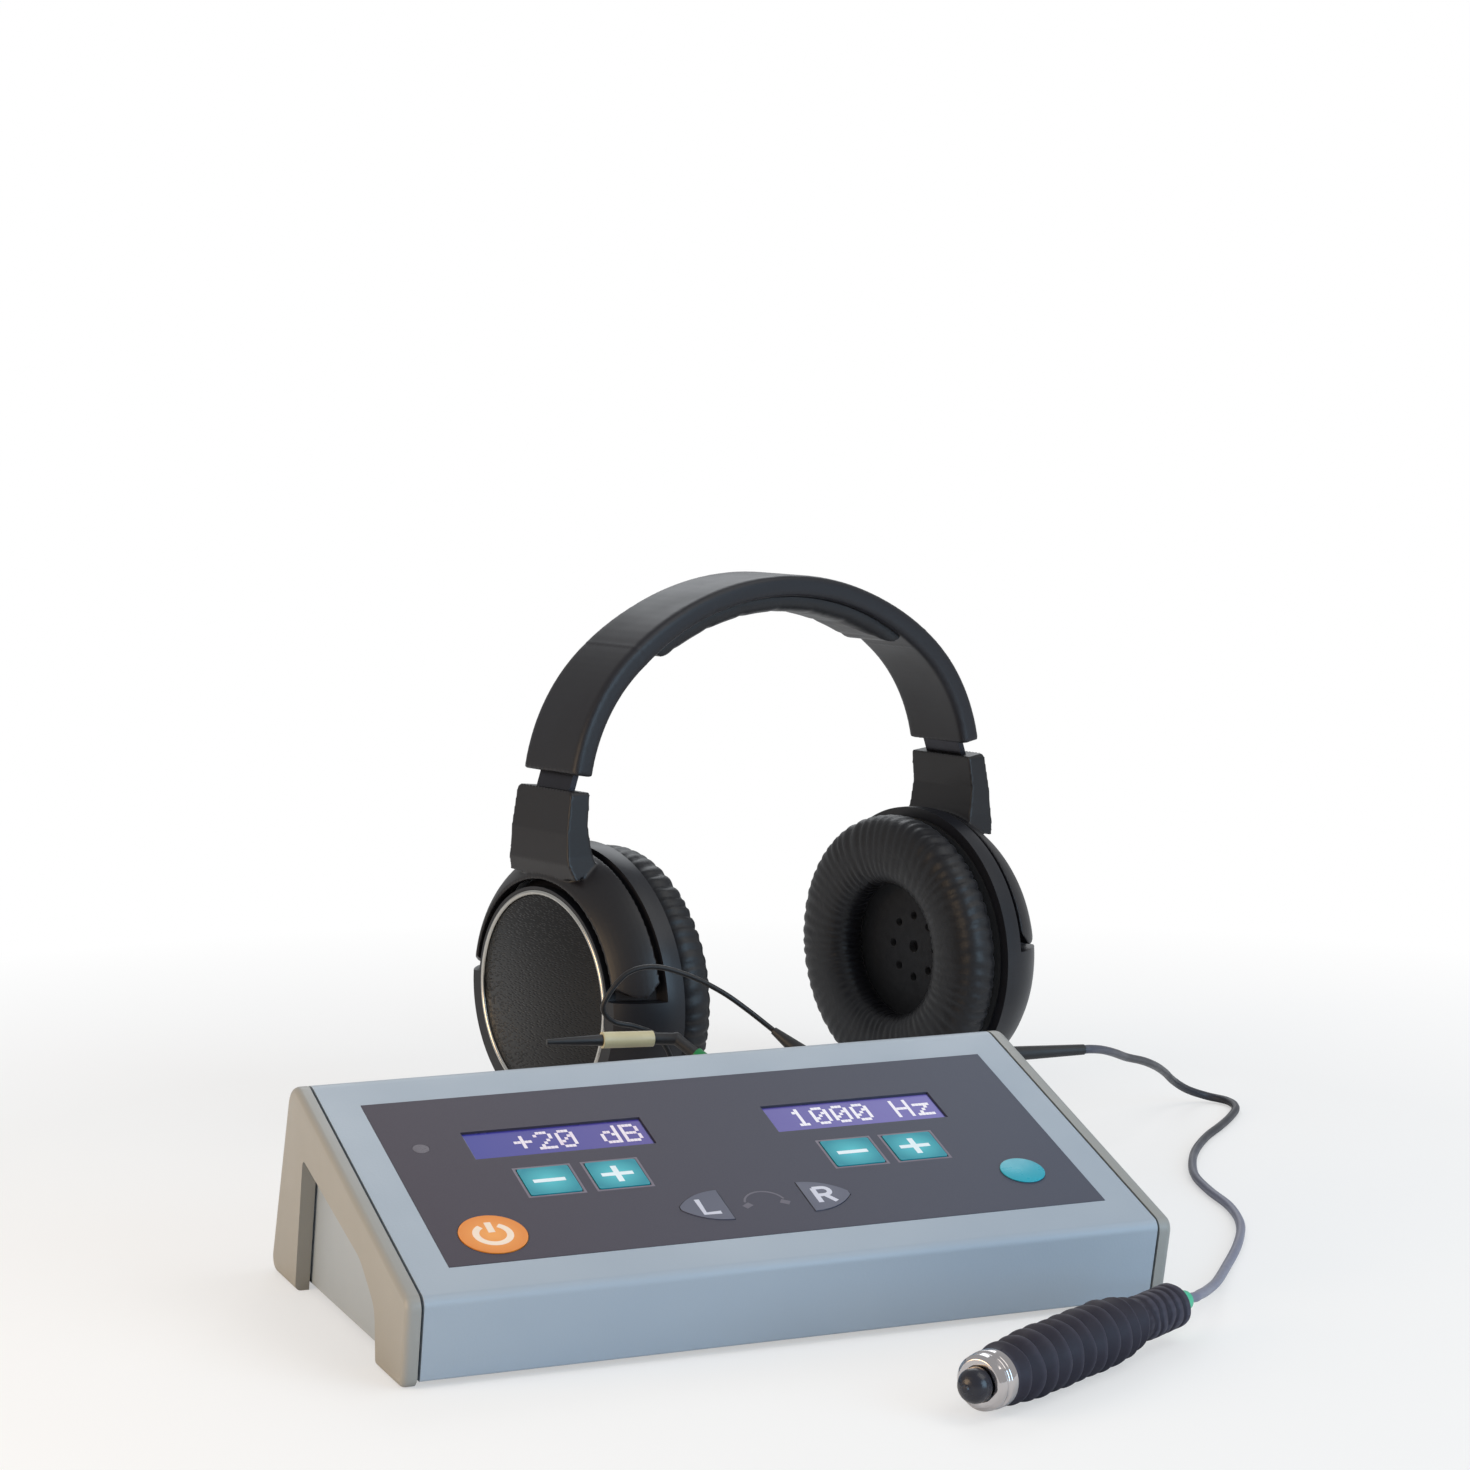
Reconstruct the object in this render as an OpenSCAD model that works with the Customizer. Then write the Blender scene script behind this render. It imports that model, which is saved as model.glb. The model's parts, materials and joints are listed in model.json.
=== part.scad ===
// Desktop audiometer: a sloped console with membrane keys and two displays,
// a hand-held response button on its cord, and a headset on its cord.

/* [Console shell] */
// Width of the moulded shell between the end cheeks
body_w = 225; // [215:1:260]
// Length of the sloped top from front edge to rear edge
slope_len = 125.4; // [122:0.2:140]
// Angle of the sloped top
slope_angle = 18; // [15:0.5:21]
// Height of the front face's upper edge above the table
front_h = 26.2; // [24:0.2:34]
// Lean of the front face
front_lean = 13; // [8:0.5:16]
// Lean of the rear face
rear_lean = 22.6; // [16:0.2:24]
// Wall of the moulded shell
wall = 3; // [2.8:0.1:3.6]
// Radius along the upper front edge
front_r = 3; // [1:0.5:4]
// Radius along the upper rear edge
rear_r = 9; // [5:0.5:10]
// Gap between the table and the underside of the shell
under_gap = 2; // [1.5:0.1:3]
// Clearance around parts that drop into a recess
fit_gap = 0.3; // [0.2:0.05:0.4]

/* [End cheeks] */
// Thickness of an end cheek
cheek_t = 4.4; // [4.2:0.1:7]
// Width of the shadow groove between cheek and shell
seam = 0.8; // [0.6:0.1:1.2]
// Radius of the cheek's outer edges
cheek_r = 2; // [1:0.25:2.5]
// Depth of the rear leg from front to back, measured square to the leg
leg_w = 21; // [17:0.5:26]
// Length of the front foot along the table
foot_len = 25; // [18:0.5:32]
// Width of the sloping bar between the leg and the foot
bar_w = 15; // [12:0.5:18]

/* [Front foil and keys] */
// Length of the dark foil from left to right
foil_w = 203.4; // [196:0.2:208]
// Width of the dark foil along the slope
foil_h = 90.6; // [88:0.2:96]
// Distance of the foil from the shell's front edge along the slope
foil_s = 14.8; // [12:0.1:18]
// Thickness of the foil
foil_t = 0.8; // [0.6:0.05:1]
// Thickness of the keypad layer below the foil
layer_t = 1.1; // [1.05:0.05:1.4]
// How far keys and foil stand above the shell
foil_proud = 0.1; // [0:0.05:0.2]
// Width of a minus or plus key
key_w = 15.7; // [14:0.1:17]
// Height of a minus or plus key along the slope
key_h = 14.6; // [13:0.1:16]
// Diameter of the power key
power_d = 19.8; // [16:0.2:22]
// Length of an ear key from its flat side to its point
ear_len = 14.4; // [12:0.2:16]
// Height of an ear key's flat side
ear_h = 16; // [13:0.2:18]
// Travel of a key
key_travel = 0.4; // [0.2:0.05:0.45]
// Clearance around a key
key_gap = 0.25; // [0.15:0.05:0.4]
// Diameter of a snap dome
dome_d = 9; // [7:0.5:10]
// Diameter of the plain badge
badge_d = 13.7; // [10:0.1:16]
// Diameter of the status lamp
lamp_d = 5; // [4:0.25:6]

/* [Displays] */
// Width of a display window
window_w = 56.4; // [50:0.2:58]
// Height of a display window along the slope
window_h = 15.7; // [13:0.1:16]
// How much larger than its window the glass is
glass_margin = 1.2; // [0.8:0.1:1.4]
// Thickness of the display glass
glass_t = 2.4; // [1.8:0.1:3]
// Depth of the glass below the foil's upper face
glass_depth = 1.6; // [1.2:0.1:2]

/* [Sockets and plugs] */
// Outer diameter of a round socket on the rear panel
socket_d = 10; // [9:0.5:12]
// Diameter of a plug's pin
pin_d = 6.3; // [5:0.1:6.5]
// Height of the socket row above the table
socket_z = 38; // [34:0.5:44]
// Diameter of a plug's moulded body
plug_d = 8; // [7:0.25:9]

/* [Headset] */
// Distance between the outer faces of the cups
headset_w = 198; // [190:1:210]
// Height of the band's top above the table
headset_h = 201; // [197:1:210]
// Outer diameter of a cup
cup_d = 108; // [106:0.5:112]
// Depth of a cup from its cushion to its outer face
cup_depth = 23; // [22:0.25:25]
// Diameter of the face disc
disc_d = 73; // [68:0.5:74]
// Width of the bright trim ring around the face disc
ring_w = 1.8; // [1.2:0.1:2.4]
// Outer diameter of a cushion
cushion_d = 104; // [98:1:106]
// Thickness of a cushion
cushion_t = 17; // [13:0.5:20]
// Diameter of the cushion's ear opening
ear_d = 50; // [44:1:56]
// Thickness of the band
band_t = 8; // [7.5:0.25:9]
// Width of the band from front to back
band_w = 32; // [28:1:36]
// Width of a slider strip
strip_w = 20; // [16:0.5:22]
// Thickness of a slider strip
strip_t = 2.4; // [2:0.1:2.6]
// How far the slider is pulled out as shown
slider_out = 6; // [4:0.5:10]
// Diameter of a cup's pivot pin
pivot_d = 4; // [3:0.25:5]

/* [Response handset] */
// Largest diameter of the ribbed grip
grip_d = 19.5; // [18:0.5:24]
// Length of the grip's ribbed front part
grip_front = 67; // [60:0.5:76]
// Length of the grip's slim tail
grip_tail = 23.5; // [18:0.5:30]
// Number of large ribs
rib_count = 11; // [8:1:12]
// Diameter of the slim tail
tail_d = 13.5; // [12:0.5:16]
// Diameter of the ring nut
nut_d = 16; // [15:0.5:18]
// Length of the ring nut
nut_len = 7.5; // [7:0.5:10]
// Diameter of the domed push button
button_d = 9.6; // [8:0.2:12]
// Travel of the push button
button_travel = 2; // [1:0.1:2.5]

/* [Cords] */
// Diameter of the response cord
response_cord_d = 3; // [2.6:0.1:3.4]
// Diameter of the headset cord
headset_cord_d = 1.8; // [1.6:0.1:2]

/* [Hidden] */
$fn = 48;

// The reference point on the table, seen from the middle of the front edge
ref_x = 49.694;
ref_y = 145.987;

// Corners of the shell's side outline as [depth, height]
front_top = [0, front_h];
rear_top = [slope_len * cos(slope_angle), front_h + slope_len * sin(slope_angle)];
rear_foot = [rear_top[0] + rear_top[1] * tan(rear_lean), 0];
front_foot = [front_h * tan(front_lean), 0];
outline = [front_foot, rear_foot, rear_top, front_top];

// Stack of the foil and keypad in the recess of the sloped top
recess_n = foil_proud - foil_t - layer_t;
key_top_n = foil_proud + 0.2;
key_t = 0.55;
nub_t = 0.2;
dome_gap = 0.02;
dome_h = key_top_n - key_t - nub_t - recess_n - key_travel - dome_gap;
glass_n = foil_proud - glass_depth;
display_h = 3.6;
display_board_t = 1.6;
header_h = 3.2;
main_board_n = glass_n - glass_t - display_h - display_board_t - header_h;
main_board_t = 1.6;

// Places on the sloped top as [from left to right, up the slope]
foil_mid = [0.5, foil_s + foil_h / 2];
power_at = [foil_mid[0] - foil_w / 2 + 17.1, 28.9];
level_minus_at = [-59, 54.3];
level_plus_at = [-38.1, 54.3];
frequency_minus_at = [36.9, 54.3];
frequency_plus_at = [57.4, 54.3];
left_ear_at = [-12.6, 32.4];
right_ear_at = [12.6, 32.4];
level_window_at = [-48.5, 77.2];
frequency_window_at = [47.2, 77.2];
lamp_at = [foil_mid[0] - foil_w / 2 + 10.5, 78];
badge_at = [foil_mid[0] + foil_w / 2 - 17.8, 34.9];
domes_at = [
    power_at, level_minus_at, level_plus_at, frequency_minus_at, frequency_plus_at,
    left_ear_at - [ear_len * 0.42, 0], right_ear_at + [ear_len * 0.42, 0]
];
windows_at = [level_window_at, frequency_window_at];

// Screws and feet under the console
post_d = 8;
post_x = body_w / 2 - wall - 9;
post_ys = [24, rear_top[0] - 14];
screw_d = 3;
screw_head_d = 6;
screw_head_t = 1.4;
screw_bite = 8;
foot_d = 12;
foot_inset = 16;

// Board posts as [from left to right, up the slope]
board_w = body_w - 41;
board_h = 82;
board_post_d = 6;
board_posts = [for (x = [-1, 0, 1], s = [24, 98]) [x * (board_w / 2 - board_post_d), s]];
board_screw_d = 2.5;

// Sockets along the rear panel
panel_t = 2;
panel_top = 14;
socket_down = (rear_top[1] - socket_z) / cos(rear_lean);
headset_socket_x = body_w / 2 - 42.5;
response_socket_x = body_w / 2 - 14.5;
spare_socket_x = body_w / 2 - 74.5;
inlet_x = 46.5 - body_w / 2;
socket_xs = [headset_socket_x, response_socket_x, spare_socket_x];
socket_flange = 2;
pin_gap = 0.05;

// Headset standing on the table, turned as seen in the photograph
headset_at = [110, 300];
headset_turn = 16;
cup_r = cup_d / 2;
face_x = headset_w / 2;
dome_r = 24;
dome_z = 3;
drum_r = disc_d / 2 + ring_w + 1.2;
ring_seat_r = disc_d / 2 + ring_w + 0.05;
recess_z = 7;
side_arc_r = 68;
arc_split = 50;
band_end_angle = 10;
band_end_inset = 7.7;
top_arc_r = side_arc_r + (face_x - band_end_inset
    - (side_arc_r - band_t / 2) * cos(band_end_angle)) / cos(arc_split);
top_arc_z = headset_h - top_arc_r;
side_arc_at = [
    (top_arc_r - side_arc_r) * cos(arc_split),
    top_arc_z + (top_arc_r - side_arc_r) * sin(arc_split)
];
band_step = 0.3;
pad_t = 6;
slide_tilt = 19;
slide_shift = 0.8;
pocket_len = 28;
pivot_up = 10;
pivot_z = 12;
yoke_end_angle = 6;
yoke_end = 6;
yoke_gap = 4.8;
gland_angle = -50;
gland_z = 7;
gland_len = 9;

// Response handset lying in front of the console's right corner
handset_at = [53.1, -55.6];
handset_turn = 209.5;
rib_d = grip_front / rib_count;
tail_rib_count = 6;
collar_len = 6;
switch_len = 41.7;
switch_bore = 14;
handset_front = 35;
grip_end = handset_front - grip_front - grip_tail - 1;
collar_end = grip_end - collar_len;

function unit(v) = v / norm(v);

// Where the lines p + s u and q + t v meet
function meeting(p, u, q, v) =
    let (d = u[0] * v[1] - u[1] * v[0], w = q - p)
    p + u * ((w[0] * v[1] - w[1] * v[0]) / d);

// Corner b of a counter-clockwise outline after both its edges move inwards
function inset_corner(a, b, c, before, after) =
    let (u = unit(b - a), v = unit(c - b))
    meeting(a + before * [-u[1], u[0]], u, b + after * [-v[1], v[0]], v);

// A whole outline with its edges moved inwards, one distance for each edge
function inset_outline(points, ds) =
    let (n = len(points))
    [for (i = [0 : n - 1])
        inset_corner(points[(i + n - 1) % n], points[i], points[(i + 1) % n],
            ds[(i + n - 1) % n], ds[i])];

// Flat outline with round corners, one radius for each corner
module rounded(points, radii) {
    n = len(points);
    corner = [for (i = [0 : n - 1])
        let (
            u = unit(points[(i + n - 1) % n] - points[i]),
            v = unit(points[(i + 1) % n] - points[i]),
            half = acos(u * v) / 2
        )
        [u, v, half]];
    polygon([for (i = [0 : n - 1])
        each radii[i] > 0
            ? [points[i] + corner[i][0] * radii[i] / tan(corner[i][2]),
               points[i] + corner[i][1] * radii[i] / tan(corner[i][2])]
            : [points[i]]]);
    for (i = [0 : n - 1])
        if (radii[i] > 0)
            translate(points[i] + unit(corner[i][0] + corner[i][1])
                    * radii[i] / sin(corner[i][2]))
                circle(r = radii[i]);
}

// Rectangle about the origin with round corners
module rounded_rect(w, h, r) {
    rounded([[-w / 2, -h / 2], [w / 2, -h / 2], [w / 2, h / 2], [-w / 2, h / 2]],
        [r, r, r, r]);
}

// Moves the model so that its reference point is the origin
module in_frame() {
    translate([-ref_x, -ref_y, 0]) children();
}

// Extrudes a side outline from x0 to x1 across the console
module across(x0, x1) {
    translate([x0, 0, 0]) rotate([90, 0, 90]) linear_extrude(x1 - x0) children();
}

// Places children on the sloped top: x, distance up the slope, height over it
module on_slope() {
    translate([0, 0, front_h]) rotate([slope_angle, 0, 0]) children();
}

// Places children on the rear face: x, distance down it, height out of it
module on_rear() {
    translate([0, rear_top[0], rear_top[1]])
        rotate([rear_lean - 90, 0, 0]) children();
}

// A plate on the sloped top between two heights over its surface
module slope_plate(n0, n1) {
    on_slope() translate([0, 0, n0]) linear_extrude(n1 - n0) children();
}

// ---- console shell ----

module top_cover() {
    inner = inset_outline(outline, [-10, -10, wall, wall]);
    lip = inset_outline(outline, [-10, panel_t + fit_gap, wall, wall]);
    end = body_w / 2 - wall;
    color("lightsteelblue") in_frame() difference() {
        union() {
            difference() {
                across(-body_w / 2, body_w / 2)
                    rounded(inset_outline(outline, [under_gap, 0, 0, 0]),
                        [1, 1, rear_r, front_r]);
                across(-end, end) difference() {
                    polygon(inner);
                    rear_lip();
                }
            }
            cover_posts();
            board_posts_solid();
            cheek_spacer();
            mirror([1, 0, 0]) cheek_spacer();
        }
        slope_plate(recess_n, 1)
            translate(foil_mid) rounded_rect(foil_w + 0.2, foil_h + 0.2, 0);
        for (at = windows_at)
            slope_plate(-wall - 1, 1) translate(at)
                rounded_rect(window_w + 2 * glass_margin + 2 * fit_gap,
                    window_h + 2 * glass_margin + 2 * fit_gap, 0);
        for (x = [-post_x, post_x], y = post_ys)
            translate([x, y, under_gap])
                cylinder(d = screw_d + 0.06, h = wall + screw_bite + 1);
        on_slope() for (at = board_posts)
            translate([at[0], at[1], main_board_n - 0.1])
                cylinder(d = board_screw_d + 0.06, h = 6);
    }
}

// Strip of wall that stays above the rear panel, as a side outline
module rear_lip() {
    u = unit(rear_foot - rear_top);
    back = [cos(rear_lean), sin(rear_lean)];
    a = rear_top + back * 20 + u * (-30);
    polygon([
        a, rear_top + back * 20 + u * panel_top,
        rear_top - back * wall + u * panel_top, rear_top - back * wall - u * 30
    ]);
}

// Screw posts between the sloped top and the base tray
module cover_posts() {
    intersection() {
        for (x = [-post_x, post_x], y = post_ys)
            translate([x, y, under_gap + wall]) cylinder(d = post_d, h = 80);
        across(-body_w / 2, body_w / 2)
            polygon(inset_outline(outline, [0, 0, wall / 2, wall / 2]));
    }
}

// Short posts under the sloped top that carry the main board
module board_posts_solid() {
    on_slope() for (at = board_posts)
        translate([at[0], at[1], main_board_n])
            cylinder(d = board_post_d, h = -main_board_n - wall / 2);
}

module base_tray() {
    end = body_w / 2 - wall - fit_gap;
    color("slategray") in_frame() difference() {
        across(-end, end) intersection() {
            polygon(inset_outline(outline,
                [under_gap, fit_gap, wall, wall + fit_gap]));
            translate([0, under_gap]) square([rear_foot[0], wall]);
        }
        for (x = [-post_x, post_x], y = post_ys)
            translate([x, y, 0]) cylinder(d = screw_d + 0.4, h = 20);
    }
}

module rear_panel() {
    end = body_w / 2 - wall - fit_gap;
    low = (rear_top[1] - under_gap - wall) / cos(rear_lean);
    color("gray") in_frame() difference() {
        across(-end, end) intersection() {
            polygon([
                rear_point(panel_top + fit_gap, 0),
                rear_point(panel_top + fit_gap, -panel_t),
                rear_point(low + 10, -panel_t),
                rear_point(low + 10, 0)
            ]);
            translate([0, under_gap + wall]) square([rear_foot[0] + 10, 100]);
        }
        on_rear() for (x = socket_xs)
            translate([x, socket_down, -5]) cylinder(d = socket_d - 2, h = 10);
        on_rear() translate([inlet_x, socket_down, -5]) cylinder(d = 11.2, h = 10);
    }
}

// Point of the rear face's side outline: distance down it, height out of it
function rear_point(down, out) =
    rear_top + unit(rear_foot - rear_top) * down + [cos(rear_lean), sin(rear_lean)] * out;

// Opening between the cheek's leg, its sloping bar and its foot
module cheek_opening(grow) {
    leg_front = rear_foot[0] - leg_w / cos(rear_lean);
    up = [-sin(rear_lean), cos(rear_lean)];
    along = [cos(slope_angle * 0.8), sin(slope_angle * 0.8)];
    bar_low = [foot_len + front_foot[0], front_h + (foot_len + front_foot[0])
        * tan(slope_angle) - bar_w * 1.3];
    apex = meeting([leg_front, 0], up, bar_low + [14, 10.5], along);
    opening = [
        [bar_low[0], -10], [leg_front - up[0] / up[1] * -10, -10],
        apex, bar_low + [14, 10.5], [bar_low[0], bar_low[1]]
    ];
    points = inset_outline(opening, [-grow, -grow, -grow, -grow, -grow]);
    rounded(points, [0, 0, 2.5 + grow, 20, 8]);
}

// Corner radii of a cheek's outline, in the order of the outline
cheek_corners = [5, 4.5, rear_r, front_r + 1];

// The cheek's outline as points, its edges moved inwards by d
function cheek_points(d) =
    let (
        points = inset_outline(outline, [d, d, d, d]),
        n = len(points),
        k = 6
    )
    [for (i = [0 : n - 1])
        let (
            u = unit(points[(i + n - 1) % n] - points[i]),
            v = unit(points[(i + 1) % n] - points[i]),
            half = acos(u * v) / 2,
            r = max(cheek_corners[i] - d, 0.8),
            centre = points[i] + unit(u + v) * r / sin(half),
            start = points[i] + u * r / tan(half) - centre,
            a = atan2(start[1], start[0])
        )
        for (j = [0 : k])
            centre + r * [cos(a + (180 - 2 * half) * j / k),
                sin(a + (180 - 2 * half) * j / k)]];

// One end cheek, standing to the right of x = 0: its outer edges are rounded
module cheek() {
    steps = 5;
    flat_x = seam + cheek_t - cheek_r;
    rings = [for (i = [-1 : steps])
        let (
            a = 90 * max(i, 0) / steps,
            x = i < 0 ? seam : flat_x + cheek_r * sin(a)
        )
        [for (p = cheek_points(cheek_r * (1 - cos(a)))) [x, p[0], p[1]]]];
    n = len(rings[0]);
    m = len(rings);
    difference() {
        polyhedron(
            points = [for (ring = rings) each ring],
            faces = [
                [for (k = [0 : n - 1]) k],
                for (i = [0 : m - 2], k = [0 : n - 1])
                    each let (q = (k + 1) % n)
                    [[i * n + k, (i + 1) * n + k, (i + 1) * n + q],
                        [i * n + k, (i + 1) * n + q, i * n + q]],
                [for (k = [n - 1 : -1 : 0]) (m - 1) * n + k]
            ]
        );
        across(-1, seam + cheek_t + 1) cheek_opening(0);
    }
}

// Spacer on the shell's end wall that the right cheek is fixed to
module cheek_spacer() {
    difference() {
        across(body_w / 2 - 0.5, body_w / 2 + seam)
            polygon(inset_outline(outline, [4.2, 3.4, 3.4, 3.4]));
        across(body_w / 2 - 2, body_w / 2 + seam + 1) cheek_opening(2);
    }
}

module left_cheek() {
    color("#aab2ba") in_frame() mirror([1, 0, 0]) translate([body_w / 2, 0, 0]) cheek();
}

module right_cheek() {
    color("#aab2ba") in_frame() translate([body_w / 2, 0, 0]) cheek();
}

module rubber_feet() {
    color("#202020") in_frame()
        for (x = [-post_x, post_x], y = [post_ys[0] + foot_inset, post_ys[1] - foot_inset])
            translate([x, y, 0]) cylinder(d = foot_d, h = under_gap);
}

module case_screws() {
    color("silver") in_frame()
        for (x = [-post_x, post_x], y = post_ys)
            translate([x, y, 0]) {
                translate([0, 0, under_gap - screw_head_t])
                    difference() {
                        cylinder(d = screw_head_d, h = screw_head_t);
                        translate([-2, -0.4, -0.01]) cube([4, 0.8, 0.7]);
                        translate([-0.4, -2, -0.01]) cube([0.8, 4, 0.7]);
                    }
                translate([0, 0, under_gap])
                    cylinder(d = screw_d, h = wall + screw_bite);
            }
}

// ---- foil, keys and displays ----

// Outline of an ear key: flat side at x = 0, point at +x
module ear_outline(grow) {
    r = (ear_len * ear_len + ear_h * ear_h / 4) / ear_h;
    intersection() {
        translate([0, r - ear_h / 2]) circle(r = r + grow);
        translate([0, ear_h / 2 - r]) circle(r = r + grow);
        translate([-grow, -ear_h]) square([ear_len + 2 * grow - 0.6, 2 * ear_h]);
    }
}

module power_outline(grow) {
    translate(power_at) circle(d = power_d + 2 * grow);
}

module square_key_outline(at, grow) {
    translate(at) rounded_rect(key_w + 2 * grow, key_h + 2 * grow, 0.8 + grow);
}

module left_ear_outline(grow) {
    translate(left_ear_at) mirror([1, 0, 0]) ear_outline(grow);
}

module right_ear_outline(grow) {
    translate(right_ear_at) ear_outline(grow);
}

module front_foil() {
    color("#514a54") in_frame() slope_plate(foil_proud - foil_t, foil_proud)
        difference() {
            translate(foil_mid) square([foil_w, foil_h], center = true);
            power_outline(key_gap);
            for (at = [level_minus_at, level_plus_at, frequency_minus_at, frequency_plus_at])
                square_key_outline(at, key_gap);
            left_ear_outline(key_gap);
            right_ear_outline(key_gap);
            for (at = windows_at) translate(at) rounded_rect(window_w, window_h, 0);
            translate(lamp_at) circle(d = lamp_d + 0.2);
        }
}

module keypad_layer() {
    color("#c8b878") in_frame() slope_plate(recess_n, foil_proud - foil_t)
        difference() {
            translate(foil_mid) square([foil_w, foil_h], center = true);
            for (at = domes_at) translate(at) circle(d = dome_d + 2);
            for (at = windows_at) translate(at)
                rounded_rect(window_w + 2 * glass_margin + 2 * fit_gap,
                    window_h + 2 * glass_margin + 2 * fit_gap, 0);
            translate(lamp_at) circle(d = lamp_d + 0.2);
        }
}

module switch_domes() {
    color("silver") in_frame() on_slope() for (at = domes_at)
        translate([at[0], at[1], recess_n]) rotate_extrude()
            polygon([
                [0, 0], [dome_d / 2, 0], [dome_d / 2, 0.2], [dome_d * 0.36, 0.55],
                [dome_d * 0.2, dome_h - 0.08], [dome_d * 0.1, dome_h], [0, dome_h]
            ]);
}

// A key: its plate and the nub over its dome
module key_solid(dome_at) {
    slope_plate(key_top_n - key_t, key_top_n) children();
    on_slope() translate([dome_at[0], dome_at[1], key_top_n - key_t - nub_t])
        cylinder(d = 4, h = nub_t + 0.1);
}

module power_key() {
    color("#e8902f") in_frame() key_solid(domes_at[0]) power_outline(0);
}

module level_minus_key() {
    color("#17a2b0") in_frame() key_solid(domes_at[1]) square_key_outline(level_minus_at, 0);
}

module level_plus_key() {
    color("#17a2b0") in_frame() key_solid(domes_at[2]) square_key_outline(level_plus_at, 0);
}

module frequency_minus_key() {
    color("#17a2b0") in_frame()
        key_solid(domes_at[3]) square_key_outline(frequency_minus_at, 0);
}

module frequency_plus_key() {
    color("#17a2b0") in_frame()
        key_solid(domes_at[4]) square_key_outline(frequency_plus_at, 0);
}

module left_ear_key() {
    color("#6b6d7e") in_frame() key_solid(domes_at[5]) left_ear_outline(0);
}

module right_ear_key() {
    color("#6b6d7e") in_frame() key_solid(domes_at[6]) right_ear_outline(0);
}

module display_glasses() {
    color("#4a4aa8") in_frame() for (at = windows_at)
        slope_plate(glass_n - glass_t, glass_n) translate(at)
            rounded_rect(window_w + 2 * glass_margin, window_h + 2 * glass_margin, 0);
}

// Display module below its glass: frame, circuit board and pin header
module display(at) {
    frame_top = glass_n - glass_t;
    board_top = frame_top - display_h;
    slope_plate(board_top, frame_top) translate(at) square([window_w + 5, window_h + 8],
        center = true);
    difference() {
        slope_plate(board_top - display_board_t, board_top) translate(at)
            square([window_w + 14, window_h + 16], center = true);
        for (x = [-1, 1], y = [-1, 1])
            slope_plate(board_top - 5, board_top + 1)
                translate(at + [x * (window_w / 2 + 4.5), y * (window_h / 2 + 5.5)])
                    circle(d = 2.5);
    }
    slope_plate(main_board_n, board_top - display_board_t)
        translate(at + [0, window_h / 2 + 5]) square([40, 2.5], center = true);
}

module level_display() {
    color("#2c4a35") in_frame() display(level_window_at);
}

module frequency_display() {
    color("#2c4a35") in_frame() display(frequency_window_at);
}

module main_board() {
    color("#1f6b3a") in_frame() difference() {
        slope_plate(main_board_n - main_board_t, main_board_n)
            translate(foil_mid) square([board_w, board_h], center = true);
        on_slope() for (at = board_posts)
            translate([at[0], at[1], main_board_n - 5])
                cylinder(d = board_screw_d + 0.3, h = 10);
    }
}

module board_screws() {
    color("silver") in_frame() on_slope() for (at = board_posts)
        translate([at[0], at[1], main_board_n - main_board_t]) {
            cylinder(d = board_screw_d, h = main_board_t + 5);
            translate([0, 0, -1.5]) cylinder(d = 5, h = 1.5);
        }
}

module status_lamp() {
    color("#6d6670") in_frame() slope_plate(recess_n, foil_proud)
        translate(lamp_at) circle(d = lamp_d);
}

module badge_disc() {
    color("#1fa3ad") in_frame() slope_plate(foil_proud, foil_proud + 0.4)
        translate(badge_at) circle(d = badge_d);
}

// ---- rear sockets and plugs ----

module rear_sockets() {
    color("#303236") in_frame() on_rear() for (x = socket_xs)
        translate([x, socket_down, 0]) difference() {
            union() {
                cylinder(d = socket_d, h = socket_flange);
                translate([0, 0, -12]) cylinder(d = socket_d - 2.2, h = 12.1);
            }
            translate([0, 0, -11]) cylinder(d = pin_d + 2 * pin_gap, h = 20);
        }
}

module power_inlet() {
    color("#202226") in_frame() on_rear() translate([inlet_x, socket_down, 0]) {
        difference() {
            union() {
                cylinder(d = 13, h = 1.5);
                translate([0, 0, -11]) cylinder(d = 11, h = 11.1);
            }
            translate([0, 0, -9]) cylinder(d = 6.4, h = 20);
        }
        translate([0, 0, -9.1]) cylinder(d = 2, h = 9);
    }
}

// Ball on a line end, used where a plug's parts turn a corner
module knuckle(at, r) {
    translate(at) sphere(r = r);
}

// Round bar from a to b, tapering from radius ra to radius rb
module bar_between(a, b, ra, rb) {
    v = b - a;
    translate(a)
        rotate([0, acos(v[2] / norm(v)), atan2(v[1], v[0])])
            cylinder(r1 = ra, r2 = rb, h = norm(v));
}

// A point over the rear panel as a point of the console
function over_rear(x, down, out) =
    let (p = rear_point(down, out)) [x, p[0], p[1]];

headset_elbow = over_rear(headset_socket_x, socket_down, 24);
headset_boot_end = [59, 165, 58];
response_elbow = over_rear(response_socket_x, socket_down, 24);
response_boot_end = [172, 160, 44];
spare_elbow = over_rear(spare_socket_x, socket_down, 16);
spare_turn = [24, 164, 58];
spare_join = [16, 165, 58.5];
spare_collar_a = spare_elbow + (spare_turn - spare_elbow) * 0.32;
spare_collar_b = spare_elbow + (spare_turn - spare_elbow) * 0.68;

// Pin and moulded body of a plug, standing straight out of the rear panel
module plug_base(x, length) {
    on_rear() translate([x, socket_down, 0]) {
        translate([0, 0, -10]) cylinder(d = pin_d, h = socket_flange + 10.1);
        translate([0, 0, socket_flange]) cylinder(d = plug_d, h = length - socket_flange);
    }
}

module headset_plug() {
    color("#1b1b1e") in_frame() {
        plug_base(headset_socket_x, 24);
        knuckle(headset_elbow, plug_d / 2 + 0.15);
        bar_between(headset_elbow, headset_boot_end, plug_d / 2 - 0.2, 1.3);
    }
}

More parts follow.
